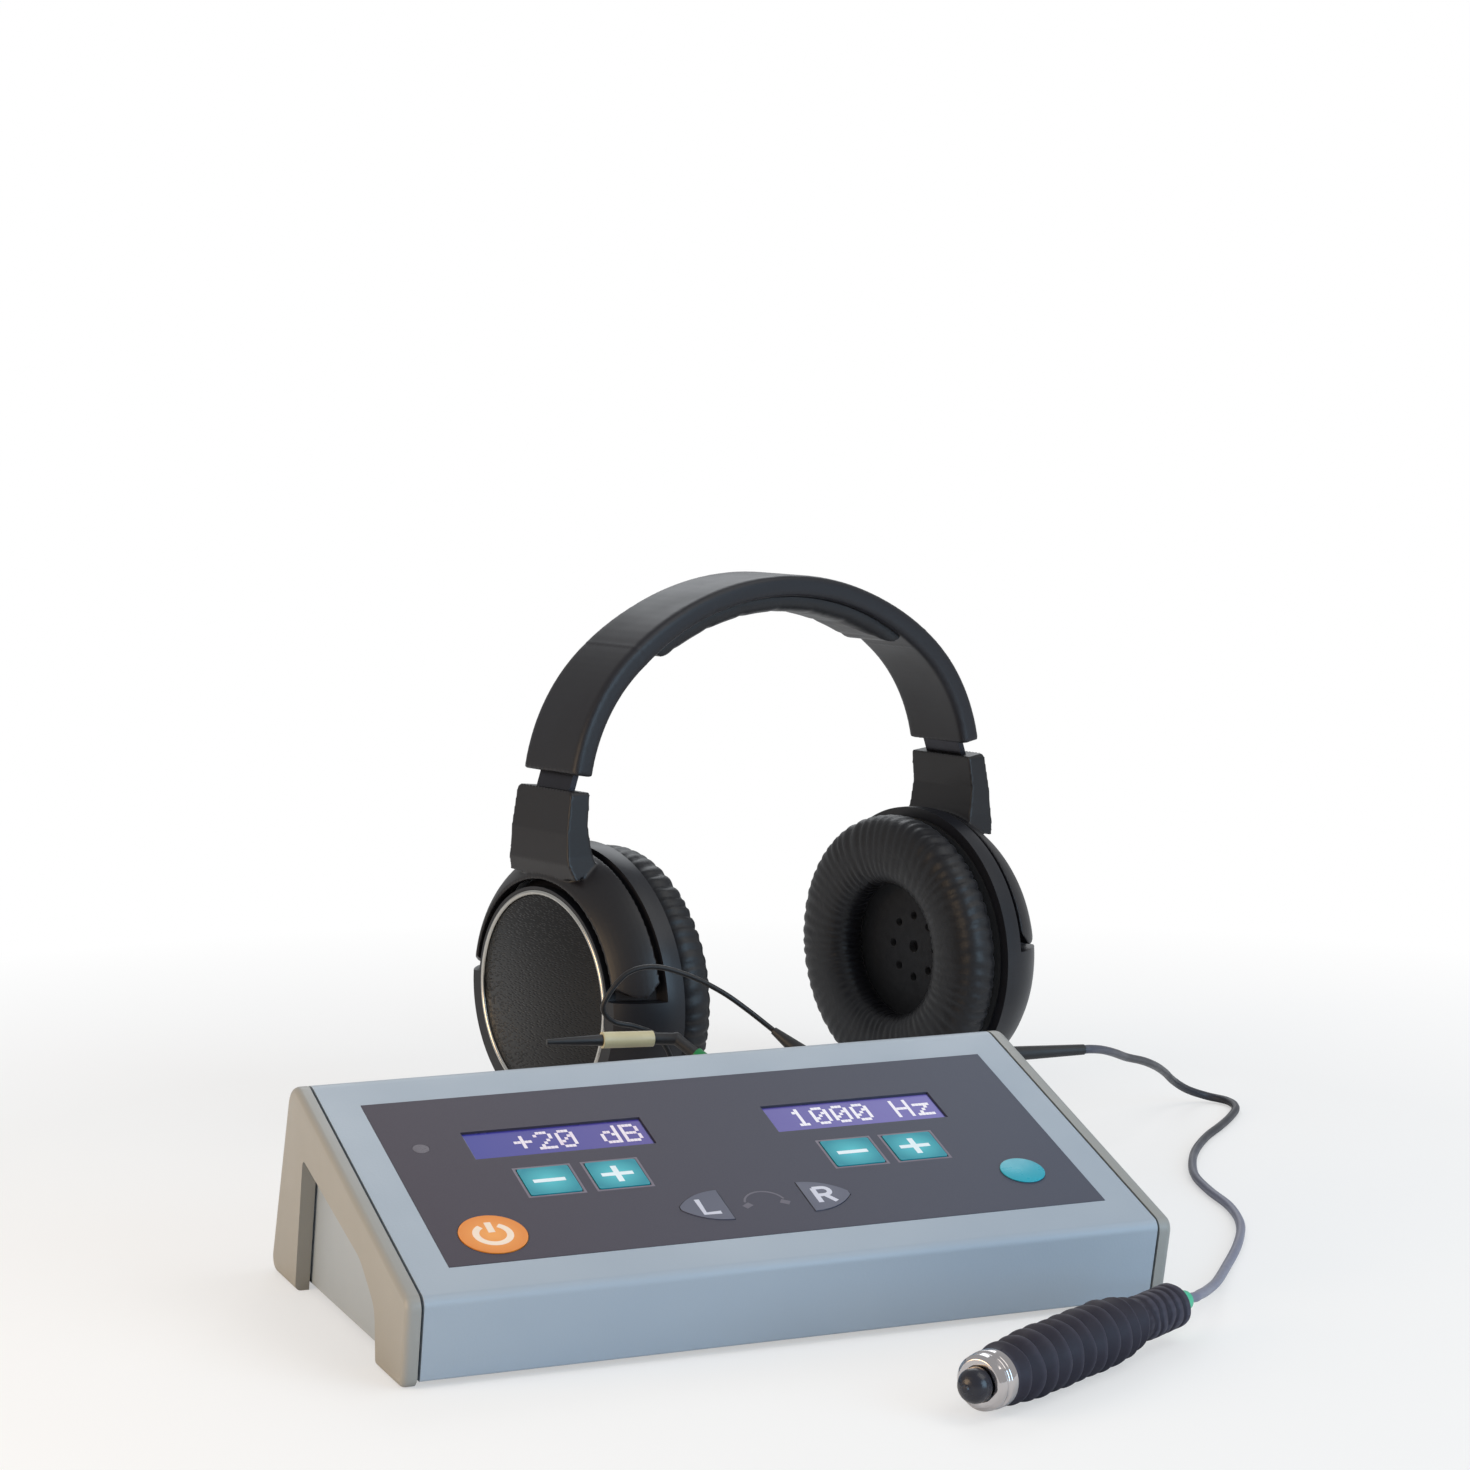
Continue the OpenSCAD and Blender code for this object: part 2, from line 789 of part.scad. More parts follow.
module response_plug() {
    color("#1b1b1e") in_frame() {
        plug_base(response_socket_x, 24);
        knuckle(response_elbow, plug_d / 2 + 0.15);
        bar_between(response_elbow, response_boot_end, 3.6, 1.8);
    }
}

module spare_plug() {
    color("#1b1b1e") in_frame() {
        plug_base(spare_socket_x, 16);
        knuckle(spare_elbow, plug_d / 2 + 0.15);
        bar_between(spare_elbow, spare_turn, 2, 2);
        knuckle(spare_turn, 2.2);
        bar_between(spare_turn, spare_join, 2, 2);
    }
}

module spare_collar() {
    color("#0f7f3f") in_frame() difference() {
        bar_between(spare_collar_a, spare_collar_b, 2.8, 2.5);
        bar_between(spare_elbow, spare_turn, 2.02, 2.02);
    }
}

module spare_sleeve() {
    color("#c9bd96") in_frame()
        bar_between(spare_join, spare_join + [-17.5, 0, 0.8], 2.6, 2.7);
}

module spare_tip() {
    color("#1b1b1e") in_frame()
        bar_between(spare_join + [-17.5, 0, 0.8], spare_join + [-36.5, 0, 1.6], 1.9, 0.9);
}

// ---- cords ----

// Point of the handset's axis, t millimetres from its middle towards the button
function on_grip_axis(t) = [
    handset_at[0] + t * cos(handset_turn), handset_at[1] + t * sin(handset_turn),
    grip_d / 2
];

// Point in line with the left cup's cord gland, d millimetres out of it
function gland_point(d) =
    let (
        r = cup_r + gland_len - 2 + d,
        x = -(face_x - cup_depth + gland_z),
        y = r * cos(gland_angle)
    )
    [headset_at[0] + x * cos(headset_turn) - y * sin(headset_turn),
        headset_at[1] + x * sin(headset_turn) + y * cos(headset_turn),
        cup_r + r * sin(gland_angle)];

// Coil of the headset cord's unseen length, behind the console
coil_at = [-45, 200];
coil_layers = 4;
coil_turns = 4.875;
coil_pitch = headset_cord_d * 1.4;
coil_out_r = 6 * headset_cord_d + coil_pitch * coil_turns / 2;
coil_low_z = headset_cord_d * 0.4;
coil_top_z = coil_low_z + coil_pitch * (coil_layers - 1);
coil_loops = coil_turns * coil_layers + (coil_layers - 1) / 2;
coil_rings = 20;

// Gap left where a cord's flat end faces a gland
cord_gap = 0.1;

// Points of the response cord from its boot to the handset
response_route = [
    response_boot_end,
    response_boot_end + unit(response_boot_end - response_elbow) * response_cord_d,
    [182, 165, 42.2], [191, 173, 39], [202, 184, 34.5], [215, 196, 30],
    [228, 210, 24.5], [241, 226, 18], [252, 239, 11.5], [262, 246, 6], [271, 247, 2.6],
    [276, 240, 1.7], [273, 229, 1.6], [264, 217, 1.6], [252, 204, 1.6], [238, 190, 1.6],
    [224, 173, 1.6], [213, 156, 1.6], [204, 138, 1.6], [198, 118, 1.6], [193, 96, 1.6],
    [184, 74, 1.6], [170, 52, 1.6], [152.5, 29, 1.9], [137.5, 9, 3.6], [124.5, -7.5, 6.4],
    [116, -18, 8.7], on_grip_axis(collar_end - 2 * response_cord_d) - [0, 0, 0.3],
    on_grip_axis(collar_end - response_cord_d), on_grip_axis(collar_end - cord_gap)
];

// Points of the headset cord from its boot to the coil
headset_route = [
    headset_boot_end,
    headset_boot_end + unit(headset_boot_end - headset_elbow) * headset_cord_d,
    [51, 169, 65], [43, 171, 71], [33, 174, 76.5],
    [22, 176, 80], [13, 177, 79], [7, 178, 73.5], [4, 179, 67], [8, 180, 62],
    [16, 181, 59.6], [25, 183, 55], [31, 186, 45], [31, 190, 32], [25, 196, 17],
    [12, 204, 6], [-6, 212, 1.7], [-22, 216.4, 1.1],
    [coil_at[0] + 4, coil_at[1] + coil_out_r, coil_low_z],
    [coil_at[0], coil_at[1] + coil_out_r, coil_low_z]
];

// Points of the headset cord from the coil to the left cup
tail_route = [
    [coil_at[0], coil_at[1] + coil_out_r, coil_top_z],
    [coil_at[0] - 4, coil_at[1] + coil_out_r, coil_top_z],
    [-58, 220, 6.2], [-65, 228, 3], [-68, 240, 1.2], [-65, 256, 1.1], [-57, 275, 1.1],
    [-46, 293, 1.1], [-33, 309, 1.1], [-19, 321, 1.1], [-5, 327.5, 1.1], [7, 328.5, 1.2],
    [14.5, 324.4, 1.7], gland_point(6), gland_point(headset_cord_d),
    gland_point(cord_gap)
];

// Smooth points along a route, k between each pair
function along(route, k) = [
    for (i = [0 : len(route) - 2], j = [0 : k - 1])
        let (
            p0 = route[max(i - 1, 0)], p1 = route[i],
            p2 = route[i + 1], p3 = route[min(i + 2, len(route) - 1)], t = j / k
        )
        0.5 * (2 * p1 + (p2 - p0) * t + (2 * p0 - 5 * p1 + 4 * p2 - p3) * t * t
            + (3 * p1 - p0 - 3 * p2 + p3) * t * t * t),
    route[len(route) - 1]
];

function cross_of(a, b) = cross(a, b);

// Tube with a round section along points, its rings square to the path
module tube(points, d, sides) {
    n = len(points);
    dirs = [for (i = [0 : n - 1])
        unit(points[min(i + 1, n - 1)] - points[max(i - 1, 0)])];
    // each ring's first axis is the one before it, turned as little as possible
    axes = [for (i = 0, a = unit(cross_of(dirs[0], [0.13, 0.2, 1])); i < n;
        i = i + 1, a = i < n ? unit(a - dirs[i] * (a * dirs[i])) : a) a];
    rings = [for (i = [0 : n - 1])
        let (a = axes[i], b = cross_of(dirs[i], a))
        for (k = [0 : sides - 1])
            points[i] + d / 2 * (cos(360 * k / sides) * a + sin(360 * k / sides) * b)];
    faces = [
        [for (k = [sides - 1 : -1 : 0]) k],
        for (i = [0 : n - 2], k = [0 : sides - 1])
            each let (
                p = i * sides + k, q = i * sides + (k + 1) % sides,
                r = p + sides, s = q + sides
            )
            [[p, q, s], [p, s, r]],
        [for (k = [0 : sides - 1]) (n - 1) * sides + k]
    ];
    polyhedron(points = rings, faces = faces);
}

module response_cord() {
    color("#8d8e9a") in_frame() tube(along(response_route, 2), response_cord_d, 8);
}

module headset_cord() {
    color("#1b1b1e") in_frame() tube(along(headset_route, 2), headset_cord_d, 8);
}

module headset_cord_tail() {
    color("#1b1b1e") in_frame() tube(along(tail_route, 2), headset_cord_d, 8);
}

// Loops of the coil: each layer runs in or out, with half a loop between layers
function coil_r(layer, f) =
    layer % 2 == 0 ? coil_out_r - f * coil_pitch * coil_turns
        : coil_out_r - (1 - f) * coil_pitch * coil_turns;

// Point of the coil after a number of loops
function coil_point(loops) =
    let (
        span = coil_turns + 0.5,
        layer = min(floor(loops / span), coil_layers - 1),
        rest = loops - layer * span,
        r = coil_r(layer, min(rest / coil_turns, 1)),
        climb = max(0, (rest - coil_turns) / 0.5)
    )
    [coil_at[0] + r * cos(90 + 360 * loops), coil_at[1] + r * sin(90 + 360 * loops),
        coil_low_z + (layer + climb) * coil_pitch];

coil_points = [for (i = [0 : coil_loops * coil_rings]) coil_point(i / coil_rings)];

// Least gap between loops, measured on every second point
coil_gap = min([for (i = [0 : 2 : len(coil_points) - 1],
        j = [i + coil_rings * 0.6 : 2 : len(coil_points) - 1])
    norm(coil_points[i] - coil_points[floor(j)])]) - headset_cord_d;
echo(coil_gap = coil_gap);

module headset_cord_coil() {
    color("#1b1b1e") in_frame() difference() {
        tube(coil_points, headset_cord_d, 6);
        translate([coil_at[0] - 30, coil_at[1] - 30, -10]) cube([60, 60, 10]);
    }
}

module coil_tie() {
    r_in = coil_out_r - coil_pitch * coil_turns - headset_cord_d / 2;
    r_out = coil_out_r + headset_cord_d / 2;
    h = coil_top_z + headset_cord_d / 2;
    color("#303030") in_frame() translate([coil_at[0], coil_at[1], 0]) rotate([0, 0, 200])
        difference() {
            translate([r_in - 1.3, -1.5, 0.8]) cube([r_out - r_in + 2.4, 3, h + 0.3]);
            translate([r_in - 0.5, -5, -1]) cube([r_out - r_in + 0.8, 10, h + 1.3]);
        }
}

// ---- response handset ----

// Places children on the handset's axis, +z towards its button
module on_handset() {
    translate([handset_at[0], handset_at[1], grip_d / 2]) rotate([0, 0, handset_turn])
        rotate([0, 90, 0]) children();
}

// Radius of the ribbed front part at distance t behind its front end
function grip_radius(t) =
    let (f = t / grip_front)
    nut_d / 2 + 0.6 + (grip_d / 2 - nut_d / 2 - 0.6) * min(1, f * 4)
        - (grip_d / 2 - tail_d / 2 - 1) * max(0, (f - 0.82) / 0.18);

module handset_grip() {
    ribs = [for (i = [0 : rib_count - 1])
        let (
            z = handset_front - i * rib_d,
            r0 = grip_radius(i * rib_d + rib_d * 0.1),
            r1 = grip_radius(i * rib_d + rib_d * 0.75)
        )
        each [[r0 - 1.5, z], [r1 - 0.25, z - rib_d * 0.6], [r1, z - rib_d * 0.8],
            [r1 - 0.6, z - rib_d * 0.97]]];
    tail_top = handset_front - grip_front;
    tail_pitch = grip_tail / tail_rib_count;
    tail = [for (i = [0 : tail_rib_count - 1])
        let (z = tail_top - i * tail_pitch)
        each [[tail_d / 2 - 0.5, z - 0.2], [tail_d / 2, z - tail_pitch * 0.35],
            [tail_d / 2, z - tail_pitch * 0.75]]];
    color("#332f3c") in_frame() on_handset() difference() {
        rotate_extrude() polygon(concat(
            [[0, handset_front]], ribs, tail,
            [[tail_d / 2 - 1.5, grip_end], [0, grip_end]]
        ));
        translate([0, 0, handset_front - switch_len - 0.3])
            cylinder(d = nut_d - 5, h = switch_len + nut_len);
        translate([0, 0, grip_end - 1])
            cylinder(d = response_cord_d + 2.1, h = handset_front - switch_len - grip_end + 2);
    }
}

// Barrel of the push switch inside the grip, with its bore for the plunger
module handset_switch() {
    color("#8a8f96") in_frame() on_handset() difference() {
        translate([0, 0, handset_front - switch_len])
            cylinder(d = nut_d - 5.6, h = switch_len + nut_len - 2);
        translate([0, 0, handset_front - switch_bore])
            cylinder(d = button_d - 1.4, h = switch_bore + nut_len);
    }
}

module handset_ring_nut() {
    color("silver") in_frame() on_handset() translate([0, 0, handset_front]) difference() {
        rotate_extrude() polygon([
            [nut_d / 2 - 2.75, 0], [nut_d / 2 - 0.2, 0], [nut_d / 2, 0.5],
            [nut_d / 2, nut_len * 0.42], [nut_d / 2 - 0.6, nut_len * 0.5],
            [nut_d / 2 - 0.6, nut_len * 0.62], [nut_d / 2 - 0.2, nut_len * 0.68],
            [nut_d / 2 - 0.4, nut_len * 0.86], [nut_d / 2 - 1.4, nut_len],
            [button_d / 2 + 0.05, nut_len], [button_d / 2 + 0.05, nut_len - 1.7],
            [nut_d / 2 - 2.75, nut_len - 1.7]
        ]);
    }
}

module handset_button() {
    stem_low = handset_front - 6;
    dome_at = handset_front + nut_len + button_travel;
    color("#24242c") in_frame() on_handset() rotate_extrude() polygon(concat(
        [[0, stem_low], [button_d / 2 - 0.9, stem_low],
            [button_d / 2 - 0.9, dome_at - 1.5], [button_d / 2, dome_at - 1.5]],
        [for (a = [0 : 15 : 75]) [button_d / 2 * cos(a), dome_at + 4 * sin(a)]],
        [[1.1, dome_at + 4], [0.9, dome_at + 4.6], [0, dome_at + 4.7]]
    ));
}

module handset_spring() {
    color("silver") in_frame() on_handset()
        translate([0, 0, handset_front - switch_bore + 0.3]) difference() {
            cylinder(d = button_d - 3, h = 7.4);
            translate([0, 0, -1]) cylinder(d = button_d - 4.6, h = 20);
        }
}

module handset_collar() {
    color("#3fbf94") in_frame() on_handset() difference() {
        union() {
            translate([0, 0, collar_end]) cylinder(r1 = 2.9, r2 = 4.1, h = collar_len);
            translate([0, 0, grip_end - 0.01]) cylinder(d = response_cord_d + 2, h = 10);
        }
        translate([0, 0, grip_end + 2]) cylinder(d = response_cord_d, h = 20);
    }
}

// ---- headset ----

// Places children in the headset: x towards its right cup, y to the back
module in_headset() {
    in_frame() translate([headset_at[0], headset_at[1], 0]) rotate([0, 0, headset_turn])
        children();
}

// Places children in the right cup: z out of its face, y up, x to the back
module in_right_cup() {
    in_headset() translate([face_x - cup_depth, 0, cup_r]) rotate([90, 0, 90]) children();
}

module in_left_cup() {
    in_headset() mirror([1, 0, 0])
        translate([face_x - cup_depth, 0, cup_r]) rotate([90, 0, 90]) children();
}

// Part of a ring in the band's plane between two angles above the horizontal
module band_arc(at, r, t, w, edge, a0, a1) {
    translate([at[0], 0, at[1]]) rotate([90, 0, 0]) rotate([0, 0, a0])
        rotate_extrude(angle = a1 - a0) translate([r - t / 2, 0])
            rounded_rect(t, w, edge);
}

// Stouter end of the band, which reaches a little over the thinner top arc
module side_band() {
    band_arc(side_arc_at, side_arc_r + band_step, band_t + 2 * band_step,
        band_w + 2 * band_step, 2.4, band_end_angle, arc_split + 4);
}

// Middle of the band's end face, in the headset
band_end = [
    side_arc_at[0] + (side_arc_r - band_t / 2) * cos(band_end_angle),
    side_arc_at[1] + (side_arc_r - band_t / 2) * sin(band_end_angle)
];

// Top of the yoke above the cup's middle, a small gap below the band's end
yoke_top = band_end[1] - cup_r - yoke_gap;

// Places children on the right slider's axis: z up along it, 0 at the band's end
module on_slide() {
    translate([band_end[0] - slide_shift, 0, band_end[1]]) rotate([0, -slide_tilt, 0])
        children();
}

module headband() {
    color("#1d1d22") in_headset() difference() {
        union() {
            band_arc([0, top_arc_z], top_arc_r, band_t, band_w, 2.4, arc_split,
                180 - arc_split);
            side_band();
            mirror([1, 0, 0]) side_band();
        }
        for (m = [0, 1]) mirror([m, 0, 0]) on_slide()
            translate([-strip_t / 2 - 0.3, -strip_w / 2 - 0.3, -6])
                cube([strip_t + 0.6, strip_w + 0.6, pocket_len + 6]);
    }
}

module headband_pad() {
    color("#15151a") in_headset()
        band_arc([0, top_arc_z], top_arc_r - band_t - 0.1, pad_t, band_w - 6, 2.6, 56, 124);
}

module slider_strip() {
    on_slide() translate([-strip_t / 2, -strip_w / 2, -slider_out - 12])
        cube([strip_t, strip_w, slider_out + 12 + pocket_len - 4.5]);
}

// Dome outline of a cup in its own plane as [radius, height]
function dome_arc(r, a0, a1, n) = [for (i = [0 : n])
    let (a = a0 + (a1 - a0) * i / n)
    [cup_r - dome_r + r * cos(a), dome_z + r * sin(a)]];

face_angle = asin((cup_depth - dome_z) / dome_r);

module cup_shell() {
    difference() {
        rotate_extrude($fn = 96) polygon(concat(
            [[0, 0], [cup_r, 0]], dome_arc(dome_r, 0, face_angle, 8),
            [[ring_seat_r, cup_depth], [ring_seat_r, cup_depth - 2], [0, cup_depth - 2]]
        ));
        rotate_extrude($fn = 96) polygon([
            [0, 4.4], [drum_r + 5, 4.4], [drum_r + 3, recess_z - 0.5],
            [drum_r - 6, cup_depth - 6], [0, cup_depth - 6]
        ]);
        translate([0, 0, -1]) cylinder(r = cup_r - 4, h = 4.2);
        // room for the yoke over the upper half
        intersection() {
            rotate_extrude($fn = 96) polygon([
                [drum_r, cup_depth + 1], [drum_r, 19], [cup_r - 7, recess_z],
                [cup_r + 5, recess_z], [cup_r + 5, cup_depth + 1]
            ]);
            translate([-100, 4, 0]) cube([200, 100, 60]);
        }
        for (m = [0, 1]) mirror([m, 0, 0])
            translate([cup_r - 16, pivot_up, pivot_z]) rotate([0, 90, 0])
                cylinder(d = pivot_d + 0.1, h = 20);
    }
}

module yoke() {
    difference() {
        union() {
            // horseshoe over the cup's upper half, with blunt points at its ends
            intersection() {
                rotate([0, 0, yoke_end_angle])
                    rotate_extrude(angle = 180 - 2 * yoke_end_angle, $fn = 96)
                        polygon(concat(
                            [[drum_r + 2.6, cup_depth - 0.3]],
                            [[drum_r + 2.6, cup_depth - 3.4], [cup_r - 6.5, 10.6],
                                [cup_r - 5, 8.6]],
                            dome_arc(dome_r - 0.3, 15, face_angle - 0.3, 8)
                        ));
                rotate([90, 0, 90]) translate([0, 0, -cup_r]) linear_extrude(cup_d)
                    polygon([
                        [yoke_end, 13.5], [yoke_end, 17.5], [yoke_end + 4, cup_depth + 1],
                        [cup_d, cup_depth + 1], [cup_d, recess_z - 1],
                        [yoke_end + 8, recess_z - 1]
                    ]);
            }
            // stem up to the slider
            intersection() {
                rotate([90, 0, 90]) translate([0, 0, -band_w]) linear_extrude(2 * band_w)
                    polygon([
                        [drum_r + 4.1, cup_depth - 0.9], [49, cup_depth + 0.9],
                        [60, cup_depth + 0.6], [yoke_top, cup_depth - 1.8],
                        [yoke_top - 1, cup_depth - 9.8], [62, cup_depth - 8.4],
                        [55, cup_depth - 9.4], [48, cup_depth - 11],
                        [drum_r + 5, cup_depth - 4]
                    ]);
                linear_extrude(2 * cup_depth) rounded([
                    [-band_w / 2 - 4.5, drum_r + 3], [band_w / 2 + 4.5, drum_r + 3],
                    [band_w / 2 + 1.8, drum_r + 12], [band_w / 2 + 0.6, yoke_top],
                    [-band_w / 2 - 0.6, yoke_top], [-band_w / 2 - 1.8, drum_r + 12]
                ], [0, 0, 0, 2.5, 2.5, 0]);
            }
            // pivot pins at the ends of the horseshoe
            for (m = [0, 1]) mirror([m, 0, 0])
                translate([cup_r - 14, pivot_up, pivot_z]) rotate([0, 90, 0])
                    cylinder(d = pivot_d, h = 9);
        }
        yoke_slot();
    }
}

// Slot in the yoke's top that holds the slider strip, in the right cup's space
module yoke_slot() {
    rotate([-90, 0, 0]) rotate([0, 0, -90])
        translate([-(face_x - cup_depth), 0, -cup_r]) on_slide()
            translate([-strip_t / 2, -strip_w / 2, -slider_out - 12])
                cube([strip_t, strip_w, 60]);
}

module headband_slider(left) {
    color("#26262b") in_headset() mirror([left ? 1 : 0, 0, 0]) slider_strip();
}

module left_slider() {
    headband_slider(true);
}

module right_slider() {
    headband_slider(false);
}

module left_yoke() {
    color("#1b1b20") in_left_cup() yoke();
}

module right_yoke() {
    color("#1b1b20") in_right_cup() yoke();
}

module left_cup() {
    color("#1e2028") in_left_cup() {
        cup_shell();
        rotate([0, 0, gland_angle]) translate([cup_r - 2, 0, gland_z]) rotate([0, 90, 0])
            cylinder(r1 = 3, r2 = 1.5, h = gland_len);
    }
}

module right_cup() {
    color("#1e2028") in_right_cup() cup_shell();
}

module face_disc() {
    translate([0, 0, cup_depth - 2]) cylinder(d = disc_d - 0.2, h = 1.6, $fn = 96);
}

module trim_ring() {
    translate([0, 0, cup_depth - 2]) difference() {
        rotate_extrude($fn = 96) polygon([
            [disc_d / 2, 0], [disc_d / 2 + ring_w, 0], [disc_d / 2 + ring_w, 2],
            [disc_d / 2 + ring_w * 0.7, 2.5], [disc_d / 2 + ring_w * 0.3, 2.5],
            [disc_d / 2, 2]
        ]);
    }
}

module left_face_disc() {
    color("#101014") in_left_cup() face_disc();
}

module right_face_disc() {
    color("#101014") in_right_cup() face_disc();
}

module left_trim_ring() {
    color("silver") in_left_cup() trim_ring();
}

module right_trim_ring() {
    color("silver") in_right_cup() trim_ring();
}

// Driver plate behind the cushion, with a ring of sound holes
module driver() {
    difference() {
        translate([0, 0, 0.2]) cylinder(r = cup_r - 4.3, h = 3, $fn = 96);
        for (a = [0 : 45 : 315]) rotate([0, 0, a]) translate([12, 0, -1])
            cylinder(d = 3.4, h = 10, $fn = 24);
        translate([0, 0, -1]) cylinder(d = 5, h = 10);
    }
}

module left_driver() {
    color("#2a2a2e") in_left_cup() driver();
}

module right_driver() {
    color("#2a2a2e") in_right_cup() driver();
}

// Ring cushion with a crowned face and drawn-in sides
module cushion() {
    out = cushion_d / 2;
    in = ear_d / 2;
    bulge = 5;
    rotate_extrude($fn = 96) polygon(concat(
        [[in + 2, -0.2], [out - 2, -0.2]],
        [for (a = [-60 : 15 : 75]) [out - bulge + bulge * cos(a),
            -cushion_t / 2 - (cushion_t / 2 - 0.6) * sin(a)]],
        [for (a = [90 : 15 : 240]) [in + bulge + bulge * cos(a),
            -cushion_t / 2 - (cushion_t / 2 - 0.6) * sin(a)]]
    ));
}

module left_cushion() {
    color("#17171c") in_left_cup() cushion();
}

module right_cushion() {
    color("#17171c") in_right_cup() cushion();
}

top_cover();
base_tray();
rear_panel();
left_cheek();
right_cheek();
rubber_feet();
case_screws();
front_foil();
keypad_layer();
switch_domes();
power_key();
level_minus_key();
level_plus_key();
frequency_minus_key();
frequency_plus_key();
left_ear_key();
right_ear_key();
display_glasses();
level_display();
frequency_display();
main_board();
board_screws();
status_lamp();
badge_disc();
rear_sockets();
power_inlet();
headset_plug();
response_plug();
spare_plug();
spare_collar();
spare_sleeve();
spare_tip();
response_cord();
headset_cord();
headset_cord_coil();
headset_cord_tail();
coil_tie();
handset_grip();
handset_switch();
handset_ring_nut();
handset_button();
handset_spring();
handset_collar();
headband();
headband_pad();
left_slider();
right_slider();
left_yoke();
right_yoke();
left_cup();
right_cup();
left_face_disc();
right_face_disc();
left_trim_ring();
right_trim_ring();
left_driver();
right_driver();
left_cushion();
right_cushion();
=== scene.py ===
"""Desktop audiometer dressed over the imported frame: a console, a response handset, a headset."""

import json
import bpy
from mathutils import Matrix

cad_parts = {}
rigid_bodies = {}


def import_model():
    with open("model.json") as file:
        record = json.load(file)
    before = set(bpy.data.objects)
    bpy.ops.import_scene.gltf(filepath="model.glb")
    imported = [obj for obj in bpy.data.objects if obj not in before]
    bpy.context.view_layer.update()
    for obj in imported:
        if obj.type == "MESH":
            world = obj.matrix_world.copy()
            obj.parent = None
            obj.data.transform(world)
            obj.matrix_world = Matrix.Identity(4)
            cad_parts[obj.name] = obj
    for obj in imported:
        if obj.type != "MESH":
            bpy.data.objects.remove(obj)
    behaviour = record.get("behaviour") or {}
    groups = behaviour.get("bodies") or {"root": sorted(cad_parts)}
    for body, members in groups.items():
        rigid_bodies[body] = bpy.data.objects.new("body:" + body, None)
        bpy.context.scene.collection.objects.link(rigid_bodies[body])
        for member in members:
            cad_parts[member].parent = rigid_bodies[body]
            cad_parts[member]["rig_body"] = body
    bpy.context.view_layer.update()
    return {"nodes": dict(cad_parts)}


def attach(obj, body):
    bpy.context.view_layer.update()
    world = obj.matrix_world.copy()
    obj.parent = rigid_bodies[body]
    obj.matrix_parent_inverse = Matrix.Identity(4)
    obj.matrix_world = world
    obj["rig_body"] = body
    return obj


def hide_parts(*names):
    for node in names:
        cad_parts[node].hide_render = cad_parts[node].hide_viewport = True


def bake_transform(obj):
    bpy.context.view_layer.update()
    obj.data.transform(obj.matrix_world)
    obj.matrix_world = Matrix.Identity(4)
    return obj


bl_info = {
    "name": "Desktop Audiometer",
    "version": (1, 0, 0),
    "blender": (4, 5, 0),
    "location": "View3D > Sidebar > Audiometer",
    "description": "Dresses the packed audiometer with its finishes, cords, displays and padding",
    "category": "Object",
}

from math import atan2, cos, degrees, floor, pi, radians, sin

import bpy
from mathutils import Matrix, Vector

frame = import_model()
NODES = frame["nodes"]

# ---------------------------------------------------------------- places, in mm

MIDDLE = Vector((49.694, 145.987, 0))
CASE = Matrix.Scale(0.001, 4) @ Matrix.Translation(-MIDDLE)
SLOPE_ANGLE = radians(18)
SLOPE = CASE @ Matrix.Translation((0, 0, 26.2)) @ Matrix.Rotation(SLOPE_ANGLE, 4, "X")
HEADSET = CASE @ Matrix.Translation((110, 300, 0)) @ Matrix.Rotation(radians(16), 4, "Z")
CUP_TURN = Matrix.Rotation(radians(90), 4, "Z") @ Matrix.Rotation(radians(90), 4, "X")
RIGHT_CUP = HEADSET @ Matrix.Translation((76, 0, 54)) @ CUP_TURN
LEFT_CUP = HEADSET @ Matrix.Scale(-1, 4, (1, 0, 0)) @ Matrix.Translation((76, 0, 54)) @ CUP_TURN
HANDSET = (
    CASE @ Matrix.Translation((53.1, -55.6, 9.75))
    @ Matrix.Rotation(radians(209.5), 4, "Z") @ Matrix.Rotation(radians(90), 4, "Y")
)

# Handset along its own axis: front end of its bellows, their length and the pitch of their folds
BELLOWS_FRONT = 35
GRIP_LEN = 67
RIB_PITCH = GRIP_LEN / 11

# Headband in the headset: its crown's middle and mean radius, and where the stouter side bands
# end and their extra thickness has faded out, in degrees up from level
CROWN_Z = 89
CROWN_R = 108
SIDE_BAND_END = 52.4
EASED_BY = 70

# Head pad: outer radius, width, thickness and half of the angle it spans
PAD_R = 103.8
PAD_WIDTH = 26
PAD_THICK = 5.7
PAD_HALF_ANGLE = 33.5

# Ear cushion in its cup: radius of the ring's middle, radius of its section, height of its middle
# and half of its height
CUSHION_R = 38.5
CUSHION_SECTION_R = 13.4
CUSHION_Z = -8.6
CUSHION_HALF = 8.35

LEVEL_WINDOW = (-48.5, 77.2)
FREQUENCY_WINDOW = (47.2, 77.2)
WINDOW_SIZE = (56.4, 15.7)
GLASS_N = -1.5
PICTURE_N = -0.5
POWER_AT = (-84.1, 28.9)
SQUARE_KEYS = {
    "level_minus_key": (-59, 54.3),
    "level_plus_key": (-38.1, 54.3),
    "frequency_minus_key": (36.9, 54.3),
    "frequency_plus_key": (57.4, 54.3),
}
KEY_N = 0.3

